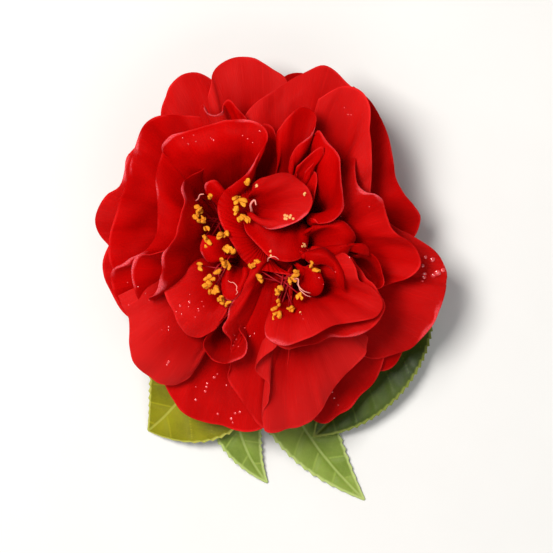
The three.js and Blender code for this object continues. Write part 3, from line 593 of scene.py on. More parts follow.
# %% The small folded petals of the middle
PETALOIDS = {
    "fold_right": ([9, 8, 22], 3, 70, [50, 35, 25, 30, 40, 40, 20], 0.3, [[12.6, 28, 41],
        [13.4, 31.5, 45], [15.2, 28.2, 47], [17.8, 25.8, 48], [19.6, 23, 49], [20.4, 19, 49],
        [20.9, 14.5, 49], [21.2, 11, 48], [19, 8.4, 47], [14.6, 6.9, 46], [11.8, 7.8, 43]], (0.45,
        0.45), (3, 2, 0)),
    "fold_behind": ([3, 6, 22], 2, 65, 0, 0.3, [[3, 28, 42], [3.8, 33, 43], [6.5, 36.5, 43],
        [10, 38.2, 42], [12.8, 36.8, 41], [13.3, 33.5, 41], [12, 31, 42], [9.5, 29, 43],
        [7, 26, 43], [5.8, 22, 43]]),
    "wedge_upper": ([4, 7, 23], 1.5, 65, 20, 0.1, [[7.3, 19.4, 42], [8.2, 22.1, 44],
        [11.2, 25, 45], [15, 27.5, 46], [15, 25.4, 45], [12.6, 22.9, 44], [10, 20.4, 42]]),
    "wedge_lower": ([5, 6, 23], 1.5, 70, 15, 0.1, [[6.5, 20, 40.5], [10, 20.6, 41],
        [13, 20.4, 41.8], [13.2, 16.5, 41.5], [12.6, 12.5, 41.5], [11, 9, 41]]),
    "ball": ([-5, 11, 24], 2.5, 88, [-32, -32, -34, -12, 4, 4, -14, -32], 0.2, [[-4, 16.8, 44],
        [-1.5, 18.8, 45.5], [2, 19.3, 46], [5.5, 19.4, 46.5], [8.8, 17.6, 46.5],
        [11.2, 15.3, 46.5], [12.2, 12.3, 46], [11, 9.2, 46], [8.5, 7, 46], [5, 5.6, 46],
        [1, 5, 45.5], [-2, 5.8, 44.5], [-4.5, 7, 43]], (0.8, 0.35)),
    "ball_under": ([5, 8, 24], 2, 88, -40, 0.2, [[-7.5, 7.5, 41], [-6.6, 3.6, 41.5], [-4, 0.4, 42],
        [-0.8, -2, 42.5], [3.2, -3.4, 42.5], [7.5, -3.4, 42], [10, -1.4, 40], [11, 1.6, 38],
        [11, 5, 36]], (0.7, 0.35)),
    "curl_low": ([-7, -8, 22], 1.5, 4, 74, 0.1, [[-15.6, -24, 35], [-17, -27.5, 34.5],
        [-15.8, -31, 35], [-12.5, -32.7, 36.5], [-9, -31.4, 39], [-6.8, -28.5, 41],
        [-6.5, -25.2, 41.5], [-7.5, -22.5, 41]], (0.7, 0.5)),
    "lobe_right": ([9, 1, 22], 2, 88, -50, 0.2, [[11, 3.5, 39], [12.8, 6, 41], [16.5, 6.4, 42],
        [20.5, 6.6, 42], [22.8, 4.8, 41], [24, 1.8, 40], [22.4, -1, 40], [18, -1.4, 41],
        [13.5, -0.4, 41]]),
    "lobe_far_right": ([8, -1, 20], 1.5, 5, 84, 0.2, [[23.5, -2.4, 39], [25.5, -2, 40.5],
        [28, -2.8, 40.5], [30.4, -4.8, 40], [31.8, -8, 39], [31, -11, 37.5], [28, -12, 36]]),
    "nub": ([9, -1, 22], 1.5, 70, -50, 0.1, [[21.6, -3.6, 41], [22.2, -1.4, 43.2], [23.8, 0.4, 44],
        [25.8, 0.9, 43.6], [27.3, -0.3, 42.4], [27.6, -2.4, 40.5]], (0.6, 0.35)),
    "hood_right": ([11, -1, 22], 4, 88, -60, 0.2, [[8.6, -1, 43], [10.3, -3, 44.5],
        [12.6, -4.4, 45.5], [15.2, -5.2, 46], [17.6, -7, 46], [19.2, -9.8, 45],
        [20.8, -12.4, 43.5]], (0.85, 0.4), (3, 1.5, 0)),
    "ball_small": ([6, -5, 23], 1.5, 80, -30, 0.1, [[9.5, -8, 42], [11.5, -7, 44], [14, -7.5, 45],
        [15.3, -10, 45], [14.5, -12.8, 44], [12, -13.8, 42], [10, -13, 40]]),
    "throat": ([0, 2, 24.3], 2, 70, 5, 0.2, [[-4, 18, 40], [-8, 17.5, 42], [-11.6, 15.4, 43.5],
        [-13.6, 12, 43.5], [-13.4, 8, 43], [-11.6, 4, 42.5], [-9.4, 0.4, 42], [-7, -3.4, 42],
        [-3.5, -6, 42], [1, -7, 41], [6, -8, 40]]),
    "lobe_small": ([-6, 0, 23], 1.5, 70, -20, 0.2, [[-13.5, 2.5, 40], [-16, 3, 42], [-18, 1, 43],
        [-18.3, -2, 43], [-16.5, -4.5, 42], [-13, -4, 40]]),
    "shell": ([-8, -5.4, 32], 1.8, 86, -40, 0.2, [[-11.6, -5, 41.5], [-12.8, -8.5, 42],
        [-12.5, -12, 42], [-10.5, -14.6, 42], [-8, -13.6, 42.5], [-5.8, -10, 42.8],
        [-4.4, -5, 42.3]], (0.8, 0.35)),
    "knob": ([-6, 5, 22], 1.2, 70, -20, 0.1, [[-17.3, 15, 38], [-16.8, 17.3, 40], [-15, 18.2, 41],
        [-13, 17.3, 40], [-12.5, 15.5, 38]]),
    "lip": ([-4, 6, 20], 2, 30, 20, 0.1, [[-19, 36.5, 36], [-18, 39.2, 38], [-17, 37.2, 39],
        [-15, 36.2, 39], [-13, 37, 39], [-12, 39, 38], [-10.5, 36.5, 36]]),
    "lip_lobe": ([-3, 6, 20], 1.5, 30, 30, 0.1, [[-12.7, 35.5, 36], [-12.3, 39, 38],
        [-11, 40.7, 38.5], [-9.4, 40.2, 38.5], [-8, 38, 38], [-6.2, 35, 37]]),
}

# %% Spin all the petals
PALE_LIT_RIMS = {  # stretches of a rim that curl and turn pale, partly with painted highlight: start, end, width in mm, how pale
    "bowl_outer": [(0.3, 0.42, 0.9, 1), (0.42, 0.5, 0.8, 1)], "bowl_third": [(0.3, 0.6, 0.4, 1)],
    "bowl_second": [(0.1, 0.2, 0.5, 1), (0.4, 0.62, 0.9, 1)],
    "bowl_inner": [(0.2, 0.32, 0.9, 1), (0.5, 0.62, 0.6, 1), (0.62, 0.78, 1.2, 1)],
    "scoop": [(0.12, 0.3, 0.5, 1), (0.5, 0.62, 0.6, 0.8), (0.74, 0.86, 0.5, 0.8)],
    "guard_left": [(0.2, 0.42, 0.7, 1)], "guard_right": [(0.5, 0.72, 0.8, 0.6)],
    "cup_upper": [(0.1, 0.3, 0.9, 0.6)], "cup_lower": [(0.3, 0.55, 0.7, 0.4)],
    "broad_left": [(0.04, 0.2, 0.9, 0.8)], "long_right": [(0.26, 0.43, 0.9, 0.9)],
    "fold_behind": [(0.6, 0.8, 0.5, 0.6)], "fold_right": [(0.12, 0.9, 0.6, 0.12)],
    "ball": [(0.55, 0.95, 0.7, 0.55)], "shell": [(0.4, 0.8, 0.7, 0.8)],
    "lip": [(0.25, 0.7, 0.7, 0.8)], "knob": [(0.1, 0.4, 0.7, 0.6)],
    "nub": [(0.1, 0.4, 0.7, 0.8)], "lobe_small": [(0.5, 0.85, 0.5, 0.8)],
    "curl_low": [(0.5, 0.9, 0.6, 0.3)], "hood_right": [(0.1, 0.8, 0.6, 0.3)],
}
RINGS = ((GUARD_PETALS, 1.2), (MIDDLE_PETALS, 1.1), (PETALOIDS, 0.7))  # mm between points
petals = []
for ring, step in RINGS:
    for name, form in ring.items():
        petals.append(petal(name, len(petals), step, PALE_LIT_RIMS.get(name, ()), *form))
print(len(petals), "petals with", sum(len(p.data.polygons) for p in petals), "faces")

# %% [markdown]
# ## The receptacle
# All petals grow from a short thick cone, which nobody sees in an open flower. It closes the
# middle, so that no light leaks up between the feet of the petals.

# %% Receptacle
HUB_PROFILE = [(5.5, 12.1), (9, 13.3), (11.8, 15.5), (12.9, 19), (13, 23), (12.6, 27),
               (10.8, 30.5), (7.5, 32.8), (4, 33.8), (1.5, 34)]
HUB_EDGE = 9.0  # mm, as if far from a petal's rim
HUB_RIBS, HUB_RIB = 9, 0.03  # how many low ribs run up it, and how high, as a share of its radius
points, cone, _ = turned(HUB_PROFILE)
turn = np.arctan2(points[:, 1], points[:, 0])
points[:, :2] *= (1 + HUB_RIB * np.sin(HUB_RIBS * turn))[:, None]
extras = {key: np.full((len(points), 1), value) for key, value in
          (("edge", HUB_EDGE), ("pale", 0.0), ("reach", 0.0), ("blush", 0.0))}
receptacle = mesh_object("receptacle", [(points, cone, {"fan": points, **extras})], [PETAL])
place(receptacle, "petal_red", "petals")
print("receptacle:", len(receptacle.data.polygons), "faces")

# %% [markdown]
# ## Geometry trees
# Stamens, sepals and dew repeat one shape many times. A geometry tree places such copies by a
# rule, with its sizes as named inputs. Its result is turned into a plain mesh, since a saved
# model keeps meshes and not modifiers.


# %% Make a geometry tree, and run it
LENGTH, COUNT = "NodeSocketFloat", "NodeSocketInt"


def geometry_tree(name, inputs):
    """A tree with named inputs, each with its socket type and first value."""
    group = bpy.data.node_groups.new(name, "GeometryNodeTree")
    for side in ("INPUT", "OUTPUT"):
        group.interface.new_socket("Geometry", in_out=side, socket_type="NodeSocketGeometry")
    for key, (kind, value) in inputs.items():
        group.interface.new_socket(key, in_out="INPUT", socket_type=kind).default_value = value
    tree = Tree(group)
    return tree, tree.node("NodeGroupInput")


def chance(tree, low, high, seed):
    """A seeded random number, or a vector where low and high are vectors."""
    kind, first = ("FLOAT_VECTOR", 0) if isinstance(low, tuple) else ("FLOAT", 2)
    sockets = {first: low, first + 1: high, "Seed": seed}
    return tree.node("FunctionNodeRandomValue", sockets, first // 2, data_type=kind)


def upright(tree, direction):
    """The turn that stands a copy up along this direction."""
    return tree.node("FunctionNodeAlignRotationToVector", {"Vector": direction}, axis="Z")


def dressed(tree, geometry, material):
    """Copies made real, smooth and in their finish."""
    geometry = tree.node("GeometryNodeRealizeInstances", {"Geometry": geometry})
    geometry = tree.node("GeometryNodeSetShadeSmooth", {
        "Geometry": geometry, "Shade Smooth": True})
    return tree.node("GeometryNodeSetMaterial", {"Geometry": geometry, "Material": material})


def grow(piece, tree, values):
    """Runs the tree on the piece's mesh, which becomes the plain result."""
    modifier = piece.modifiers.new("grow", "NODES")
    modifier.node_group = tree.nodes
    for item in tree.nodes.interface.items_tree:
        if item.name in values:
            modifier[item.identifier] = values[item.name]
    result = piece.evaluated_get(bpy.context.evaluated_depsgraph_get())
    mesh = bpy.data.meshes.new_from_object(result)
    piece.modifiers.clear()
    piece.data = mesh


# %% [markdown]
# ## Stamens
# Golden anthers sit on thin pinkish filaments. The filaments of a bundle rise together and part
# near the top. Each is drawn as a line; the tree turns the lines into tapered tubes and sets a
# two-lobed anther on every free end, each with its own lean and size. Copies of one whole stamen
# would be simpler, but all of them would bend alike.


# %% Finishes of filament and anther
def anther_finish(name, main, dark, light):
    tree = finish_tree(name)
    spot = tree.spot()
    grains = tree.node("ShaderNodeTexVoronoi", {"Vector": spot, "Scale": 2600.0})
    patches, tufts = tree.noise(spot, 420.0), tree.noise(spot, 150.0, 1.0)
    colour = tree.layers(main, (dark, patches, 0.62, 0.38, 1), (light, tufts, 0.5, 0.62, 0.7),
                         (dark, tufts, 0.46, 0.36, 0.6), (light, grains, 0.22, 0.02, 0.6))
    return surface(tree, colour, 0.8, 1 - grains, 0.08, {
        **flesh(0.15, (1.0, 0.4, 0.05), 0.6), "Specular IOR Level": 0.15})


def filament_finish(name, foot, top):
    """foot and top: the colours low in the flower and near the anthers."""
    tree = finish_tree(name)
    spot = tree.spot()
    height = tree.node("ShaderNodeSeparateXYZ", {0: spot}, "Z")
    streaks = tree.noise(tree.vectors("MULTIPLY", spot, (1.0, 1.0, 0.15)), 2200.0)
    colour = tree.layers(top, (foot, height, 38 * MM, 44 * MM, 1), (top, streaks, 0.45, 0.3, 0.4))
    return surface(tree, colour, 0.5 + 0.15 * streaks, streaks, 0.04, {
        **flesh(0.2, (1.0, 0.3, 0.2), 0.6), "Specular IOR Level": 0.2})


POLLEN = anther_finish("pollen_gold", (0.70, 0.19, 0.002), (0.50, 0.075, 0.001),
                       (0.86, 0.34, 0.02))
CRUMB = anther_finish("crumb_pale", (0.80, 0.28, 0.05), (0.70, 0.12, 0.02), (0.90, 0.50, 0.20))
FILAMENT = filament_finish("filament_pink", (0.26, 0.0006, 0.002), (0.36, 0.003, 0.008))
CURL = filament_finish("curl_pale", (0.62, 0.02, 0.03), (0.84, 0.30, 0.24))


# %% The tree that makes a tuft of stamens
def stamen_tree():
    tree, start = geometry_tree("stamen_tuft", {
        "Filament Radius": (LENGTH, 0.22 * MM), "Anther Length": (LENGTH, 2.7 * MM),
        "Anther Width": (LENGTH, 2.3 * MM), "Seed": (COUNT, 0)})
    curve = tree.node("GeometryNodeMeshToCurve", {"Mesh": start})
    factor = tree.node("GeometryNodeSplineParameter")
    ring = tree.node("GeometryNodeCurvePrimitiveCircle", {"Resolution": 8, "Radius": 1.0})
    taper = start.out("Filament Radius") * (1.5 - 0.7 * factor)
    stalks = tree.node("GeometryNodeCurveToMesh", {
        "Curve": curve, "Profile Curve": ring, "Scale": taper, "Fill Caps": True})
    ball = tree.node("GeometryNodeMeshUVSphere", {"Segments": 12, "Rings": 8, "Radius": 0.5})
    width, length = start.out("Anther Width"), start.out("Anther Length")
    lobe_size = tree.xyz(width * 0.54, width * 0.58, length)
    # The two lobes stand side by side and lean apart.
    lobes = [tree.node("GeometryNodeTransform", {
        "Geometry": ball, "Scale": lobe_size, "Rotation": (0.15 * way, 0.24 * way, 0.0),
        "Translation": tree.xyz(width * (0.24 * way), 0.0, length * 0.2)}) for way in (-1, 1)]
    anther = tree.node("GeometryNodeJoinGeometry", {"Geometry": lobes})
    ends = tree.node("GeometryNodeCurveEndpointSelection", {"Start Size": 0, "End Size": 1})
    sway = chance(tree, (-1.0, -1.0, 0.0), (1.0, 1.0, 6.3), start.out("Seed"))
    facing = tree.node("FunctionNodeRotateRotation", {
        "Rotation": upright(tree, tree.node("GeometryNodeInputTangent")),
        "Rotate By": tree.node("FunctionNodeEulerToRotation", {"Euler": sway}),
    }, rotation_space="LOCAL")
    anthers = tree.node("GeometryNodeInstanceOnPoints", {
        "Points": curve, "Selection": ends, "Instance": anther, "Rotation": facing,
        "Scale": chance(tree, 0.68, 1.1, start.out("Seed"))})
    anthers = tree.node("GeometryNodeRealizeInstances", {"Geometry": anthers})
    rough = tree.node("ShaderNodeTexNoise", {"Scale": 800.0}, "Color")
    rough = tree.vectors("SUBTRACT", rough, (0.5, 0.5, 0.5))
    crumple = tree.vectors("MULTIPLY", rough, (1.6 * MM, 1.6 * MM, 1.6 * MM))
    anthers = tree.node("GeometryNodeSetPosition", {"Geometry": anthers, "Offset": crumple})
    tuft = tree.node("GeometryNodeJoinGeometry", {
        "Geometry": [dressed(tree, stalks, FILAMENT), dressed(tree, anthers, POLLEN)]})
    tree.node("NodeGroupOutput", {"Geometry": tuft})
    return tree


STAMEN_TREE = stamen_tree()

# %% Draw the filaments of each bundle, and grow them
STAMEN_BUNDLES = {
    "stamens_left": ([-8, 5, 24], [-13.5, 6.5, 35], [
        [-18.8, 10.6, 43], [-19.3, 8, 43.5], [-17.6, 7.2, 44.5], [-17, 5, 44],
        [-17.2, 2.6, 44], [-15.8, 13.4, 43], [-12.7, 3, 45]]),
    "stamens_back": ([-4.5, 7, 24], [-6.8, 10.3, 41.5], [
        [-8.5, 13.2, 46], [-7.2, 12.4, 47], [-8.5, 10.2, 46.5], [-7.4, 8, 46],
        [-5.8, 7.6, 46.5], [-5.8, 17.4, 46.5]]),
    "stamens_low": ([-7, -4, 24], [-12, -5.8, 41.5], [
        [-11.3, -0.6, 45.5], [-9.6, -1.6, 45.5], [-12.4, -4.1, 45], [-13.4, -6.9, 45],
        [-15.8, -8.8, 44.5], [-16.5, -10.8, 43.5], [-14.2, -11.4, 44], [-18.9, -5.2, 43],
        [-13.2, -14.2, 43.5], [-11.4, -15.8, 43.5]]),
    "stamens_front": ([2.5, -7, 24], [4.5, -9.5, 42], [
        [-4.2, -5.4, 44], [-2.6, -8.4, 45], [2.8, -12.6, 45], [3, -15.5, 45.5],
        [3, -18.3, 46], [1.4, -19.6, 46.5], [6.8, -16.8, 45], [8.8, -13.3, 45.5],
        [6, -9.1, 45], [8, -7.4, 46], [12, -4.8, 47]]),
}
STEPS = 16  # in a filament
ROOT_SPREAD, FORK_SPREAD, TIP_SPREAD = 0.5, 0.8, 1.0  # mm, as a standard deviation
SAG, LOWER = 3, 1.6  # mm that a filament sags, and that an extra stamen stands lower


def filament(root, fork, tip):
    """A bent line from the root to the fork, from where it sags a little and rises to the tip."""
    root = np.array(root) + draw.normal(0, ROOT_SPREAD, 3) * [1, 1, 0]
    fork = np.array(fork) + draw.normal(0, FORK_SPREAD, 3) * [1, 1, 0.5]
    sag = fork + 0.7 * (tip - fork) - [0, 0, SAG]
    return smooth_curve([root, (root + fork) / 2, fork - [0, 0, 2], sag, tip], STEPS)


def tuft(name, number, root, fork, tips):
    """A bundle: a stamen for each tip, and a lower one beside every second tip."""
    extra = [np.array(tip) + draw.normal(0, TIP_SPREAD, 3) * [1, 1, 0.4] - [0, 0, LOWER]
             for tip in tips[::2]]
    lines = [filament(root, fork, np.array(tip, float)) for tip in [*tips, *extra]]
    firsts = [k * (STEPS + 1) for k in range(len(lines))]
    edges = [(first + i, first + i + 1) for first in firsts for i in range(STEPS)]
    made = add(name + "_fine", raw_mesh(name + "_lines", np.vstack(lines), edges))
    grow(made, STAMEN_TREE, {"Seed": number})
    place(made, "gold", name)
    print(name, len(lines), "stamens,", len(made.data.polygons), "faces")


for number, (name, bundle) in enumerate(STAMEN_BUNDLES.items()):
    tuft(name, number, *bundle)

# %% [markdown]
# A few stamens stopped halfway to becoming petals. They are pale, fleshy curls without an anther,
# and most of them grow from the receptacle like the other stamens. Each has a shape of its own,
# so they are tubes along given paths and need no tree.

# %% Pale curls among the stamens
CURLS = [
    ([[5, -6.5, 31], [7, -9, 44], [8.3, -9, 47], [8.4, -10.8, 48], [9.8, -12.2, 48.2],
        [11.6, -12.8, 47.6]], 0.2),
    ([[6, -7.5, 31], [8.5, -11, 44], [8.9, -12, 46.5], [10.5, -13.4, 47.2], [11.8, -13.8, 46.6]],
        0.18),
    ([[-3.4, 7.5, 31], [-4.5, 10, 45], [-4.6, 11.6, 48], [-3.6, 12.6, 48.8], [-3.2, 11.2, 49.2]],
        0.36),
    ([[0, -3, 31], [0, -4, 42], [0.4, -3.1, 45.4], [1.8, -2.8, 45.8], [3, -3.6, 45.4]], 0.18),
    ([[-20.2, 12.4, 40.6], [-19.2, 13, 41.8], [-18.5, 14.2, 43.8], [-17.5, 14.3, 44.4]], 0.2),
    # This curl is no stamen: a thin pale squiggle laid on the shell as a painted highlight on its
    # glossy inside.
    ([[-10.9, -9.4, 43], [-10.1, -9.9, 43.15], [-9.5, -9.9, 43.25], [-8.5, -11, 43.65],
        [-8.6, -11.9, 43.7], [-8.3, -12.6, 43.7], [-9.2, -13.5, 43.4]], 0.11),
]
CURL_STEPS = 48
swell = np.sin(np.linspace(0.35, 2.9, CURL_STEPS + 1)) ** 0.6
shells = [tube(smooth_curve(path, CURL_STEPS), radius * swell, 10) for path, radius in CURLS]
curls = mesh_object("pale_curls", shells, [CURL])
place(curls, "gold", "stamens_front")
print("curls:", len(curls.data.polygons), "faces")

# %% [markdown]
# ## Calyx
# Under the bloom, five rounded sepals clasp its foot, downy and olive green. One sepal is made
# like a petal, and a tree sets five of them round the axis, and five smaller ones between them.
# Their down is a rough relief and a sheen, since hairs would be too fine to see.


# %% Sepal finish and the whorl tree
def sepal_finish():
    tree = finish_tree("sepal_down")
    spot = tree.spot()
    blotch, down = tree.noise(spot, 260.0, 3.0), tree.noise(spot, 2600.0)
    colour = tree.layers((0.16, 0.21, 0.045), ((0.25, 0.19, 0.07), blotch, 0.62, 0.4, 1),
                         ((0.42, 0.42, 0.22), down, 0.45, 0.3, 0.5))
    return surface(tree, colour, 0.6 + 0.2 * down, down, 0.12, {
        "Sheen Weight": 0.4, "Sheen Tint": (0.9, 0.9, 0.75, 1.0)})


def whorl_tree():
    tree, start = geometry_tree("sepal_whorl", {
        "Count": (COUNT, 5), "Turn": (LENGTH, 0.0), "Size": (LENGTH, 1.0), "Seed": (COUNT, 1)})
    spots = tree.node("GeometryNodePoints", {"Count": start.out("Count")})
    angle = tree.node("GeometryNodeInputIndex") * TURN / start.out("Count") + start.out("Turn")
    lean = chance(tree, -0.05, 0.05, start.out("Seed"))
    turn = tree.node("FunctionNodeEulerToRotation", {"Euler": tree.xyz(z=angle + lean)})
    ring = tree.node("GeometryNodeInstanceOnPoints", {
        "Points": spots, "Instance": start, "Rotation": turn, "Scale": start.out("Size")})
    ring = tree.node("GeometryNodeTransform", {
        "Geometry": ring, "Translation": tuple(BLOOM_AXIS * MM)})
    tree.node("NodeGroupOutput", {"Geometry": dressed(tree, ring, SEPAL)})
    return tree


SEPAL = sepal_finish()
WHORL_TREE = whorl_tree()


# %% Sepals and the calyx's core
SEPAL_RIM = ((-0.7, 5.9, 10.1), (-0.42, 8.7, 11.1), (0, 9.5, 11.4), (0.42, 8.7, 11.1),
             (0.7, 5.9, 10.1))  # angle, distance from the axis in mm, height in mm
CORE_PROFILE = [(1.9, 7.3), (2.6, 7.6), (3.4, 8.4), (4.1, 9.2), (4.6, 10.6), (4.9, 12.0),
                (4.6, 12.3)]


def sepal_shell():
    """One sepal about the frame's own origin, as the whorl tree wants it."""
    rim = [[r * math.cos(angle), r * math.sin(angle), z] for angle, r, z in SEPAL_RIM]
    sheet, u, v, _ = petal_rows([2.2, 0, 8.4], 1.6, 5, 35, 0, rim, (0.35, 0.35), 0, 22, 26)
    keel = 0.35 * np.exp(-((v - 0.5) / 0.12) ** 2) * (1 - u)
    sheet[..., 2] -= keel + 0.15 * u**3 * np.sin(14 * v + 1)
    points, faces, _ = closed_sheet(sheet, 0.85 - 0.35 * u + 0 * v, {})
    return points - BLOOM_AXIS, faces, {}


for name, turn, size in (("sepals_outer", 0.0, 1.0), ("sepals_inner", math.pi / 5, 0.93)):
    piece = mesh_object(name, [sepal_shell()], [SEPAL])
    grow(piece, WHORL_TREE, {"Count": 5, "Turn": turn, "Size": size, "Seed": 3})
    place(piece, "sepal", "calyx")
core = mesh_object("calyx_core", [turned(CORE_PROFILE, 36)], [SEPAL])
place(core, "sepal", "calyx")
print("calyx:", len(piece.data.polygons), "faces in each whorl")

# %% [markdown]
# ## Twig
# A short length of woody stem was picked with the flower. It bends from the calyx down to the
# table. Its bark is brown with fine cracks along it and small warts, and its cut end is pale. A
# plain bevelled curve would be too even, so every ring of the tube has radii of its own, which
# swell at the nodes and never reach below the table.


# %% Bark, wood and the twig
def bark_finish():
    tree = finish_tree("twig_bark")
    spot = tree.spot()
    cracks = tree.noise(tree.vectors("MULTIPLY", spot, (0.12, 1.0, 1.0)), 1500.0, 4.0, 0.65)
    patches = tree.noise(spot, 180.0)
    colour = tree.layers((0.15, 0.085, 0.04), ((0.26, 0.19, 0.115), patches, 0.62, 0.38, 1),
                         ((0.05, 0.028, 0.015), cracks, 0.46, 0.34, 1))
    return surface(tree, colour, 0.85 - 0.15 * cracks, cracks, 0.25)


def wood_finish():
    tree = finish_tree("cut_wood")
    grain = tree.noise(tree.spot(), 1800.0, 3.0)
    colour = tree.layers((0.62, 0.50, 0.28), ((0.40, 0.29, 0.13), grain, 0.6, 0.35, 1))
    return surface(tree, colour, 0.7 + 0.1 * grain, grain, 0.06)


TWIG_PATH = [[-1, 0, 7.6], [-0.7, 0, 5.2], [0.8, 0, 3.4], [3.6, 0, 2.4], [9, 0.1, 1.95],
             [20, 0.6, 1.95], [34, 1.4, 1.95], [40.5, 1.7, 1.95]]
TWIG_RADIUS, LYING, BENT = 1.86, 1.93, 2.3  # mm, with the most it may be where it lies or bends
TWIG_NODES = ((10, 0.22), (62, 0.16), (104, 0.16), (137, 0.2))  # step, and mm that it swells
BARK = 0.03  # mm of roughness, as a standard deviation
steps, sides = 150, 28
line = smooth_curve(TWIG_PATH, steps)
i, k = np.mgrid[0:steps + 1, 0:sides]
angle = TURN * k / sides
bark = 0.05 * np.sin(5 * angle + 0.21 * i) + 0.04 * np.sin(0.63 * i + 2 * angle)
for at, size in TWIG_NODES:
    bark += size * np.exp(-((i - at) / 3.0) ** 2)
bark += draw.normal(0, BARK, bark.shape)
radii = np.minimum(TWIG_RADIUS + bark, np.where(line[:, 2:] < 1.96, LYING, BENT))
cut = tube([line[-1] - [0.3, 0, 0], line[-1] + [0.05, 0, 0]], [1.62, 1.6], sides)
twig = mesh_object("twig_fine", [tube(line, radii, sides), cut], [bark_finish(), wood_finish()])
place(twig, "bark", "twig")
print("twig:", len(twig.data.polygons), "faces")

# %% [markdown]
# ## Leaves
# A camellia leaf is thick and glossy, with a saw-toothed edge, a sunken midrib and side ribs that
# curve towards the tip. The relief between the ribs is in the mesh, so that it shows on the
# silhouette and in the gloss, and the finish colours the same ribs from numbers that each point
# carries: how far it lies from the midrib, from the nearest side rib and from the edge.


# %% Leaf finish
def leaf_finish(name, blade, light, edge, back):
    """edge: the colour of the midrib and the rim. back: the colour of the lower face."""
    tree = finish_tree(name)
    parts = tree.node("ShaderNodeSeparateXYZ", {0: tree.carried("spread", "Vector")}, "X")
    across, rib, rim = abs(parts), parts.out("Y"), parts.out("Z")
    spot, under = tree.spot(), tree.carried("under")
    clouds = tree.noise(spot, 90.0, 3.0)
    net = tree.node("ShaderNodeTexVoronoi", {"Vector": spot, "Scale": 620.0},
                    feature="DISTANCE_TO_EDGE")
    colour = tree.layers(
        blade, (light, clouds, 0.65, 0.35, 0.6), (light, net, 0.02, 0.1, 0.12),
        (light, rib, 0.12, 0.5, 0.75), (edge, across, 0.2, 0.6, 0.45), (edge, rim, 0.25, 0.9, 0.9))
    colour = tree.mix(colour, back, under)
    rough = 0.36 + 0.14 * clouds + 0.25 * under
    return surface(tree, colour, rough, tree.noise(spot, 1900.0), 0.02, {
        **flesh(0.1, (0.3, 1.0, 0.1), 0.8), "Specular IOR Level": 0.16})


# %% One leaf
TEETH = 30  # on each side of a leaf
TOOTH = 0.75  # mm
TOOTH_ROWS = 6  # rows of points to a tooth
ACROSS = 33  # points from side to side
RIB_GAP = 7.5  # mm between side ribs at the midrib
RIB_DEPTH, MIDRIB_DEPTH = 0.22, 0.35  # mm
LEAF_THICK = 0.5  # mm
STALK_STEPS, STALK_SIDES = 24, 12
SEAT = 0.7  # mm that a stalk reaches into the twig
NO_RIB = 2.0  # mm from a rib, as carried where none shows


def leaf(node, slot, finish, foot, midrib, halves, tips, fold):
    """A blade along the four points of its midrib, with its stalk. halves and tips: the width of
    each half in mm, and how bluntly it comes to the tip. fold: how steeply the halves rise."""
    rows = TEETH * TOOTH_ROWS
    u = np.linspace(0, 1, rows + 1)[:, None]
    t = np.linspace(-1, 1, ACROSS)[None, :]
    spine = bend(u, *np.array(midrib, float))
    side = unit(np.cross(np.gradient(spine, axis=0), UP))
    along = walked(spine)
    half, slope = [np.where(t < 0, *pair) for pair in (halves, tips)]
    swell = np.tanh(slope * (1 - u) * along[-1] / half) * (1 - (1 - u) ** 5) ** 0.8
    saw = ((u * TEETH) % 1) ** 1.4 * TOOTH * np.minimum(1, 6 * (1 - u)) * np.minimum(1, 9 * u)
    reach = swell * half + 0.25 + 0.25 * (1 - u)
    across = t * reach
    # Side ribs slant and curve towards the tip, and the two halves' ribs don't meet.
    s = along[:, None] - 0.55 * abs(across) - 0.018 * across**2 + (t > 0) * 0.4 * RIB_GAP
    rib = abs((s / RIB_GAP) % 1 - 0.5) * RIB_GAP
    fades = np.minimum(1, abs(across) / 1.5) * np.minimum(1, (1 - abs(t)) * 4)
    sheet = spine[:, None] + side[:, None] * (across + np.sign(t) * abs(t) ** 10 * saw)[..., None]
    height = fold * abs(across) + 0.5 * t**2 * np.sin(9 * u + 2 * t) * swell
    height += RIB_DEPTH * (ramp_up(rib / 2.2) - 1) * fades
    height -= MIDRIB_DEPTH * np.exp(-((across / 0.8) ** 2))
    height += 0.3 * np.sin(2.1 * u * TEETH + 3 * t) * abs(t) ** 4 * swell * 0.5
    sheet[..., 2] += height
    rim = (1 - abs(t)) * reach + 0.05
    spread = np.stack([across, np.where(fades > 0.3, rib, NO_RIB), rim], axis=-1)
    blade = closed_sheet(sheet, LEAF_THICK * (0.4 + 0.6 * ramp_up(rim / 1.2)), {"spread": spread})
    first = 0 if directions(sheet)[2][..., 2].mean() < 0 else across.size
    blade[2]["under"] = np.zeros((len(blade[0]), 1))
    blade[2]["under"][first:first + across.size] = 1
    foot = np.array(foot)
    seat = foot - SEAT * unit(spine[2] - foot)
    stalk = smooth_curve([seat, foot, *(spine[[2, 10]] - [0, 0, 0.3])], STALK_STEPS)
    keel = spine[10:int(rows * 0.9)] - [0, 0, 0.45]
    radii = [*np.linspace(1.05, 0.75, STALK_STEPS), *np.linspace(0.72, 0.15, len(keel))]
    bar = tube(np.vstack([stalk[:-1], keel]), radii, STALK_SIDES)
    bar[2]["spread"] = np.tile([0.0, NO_RIB, 5.0], (len(bar[0]), 1))
    bar[2]["under"] = np.full((len(bar[0]), 1), 0.35)
    made = mesh_object(node + "_fine", [blade, bar], [finish])
    place(made, slot, node)
    print(node, "length", round(float(along[-1])), "mm,", len(made.data.polygons), "faces")


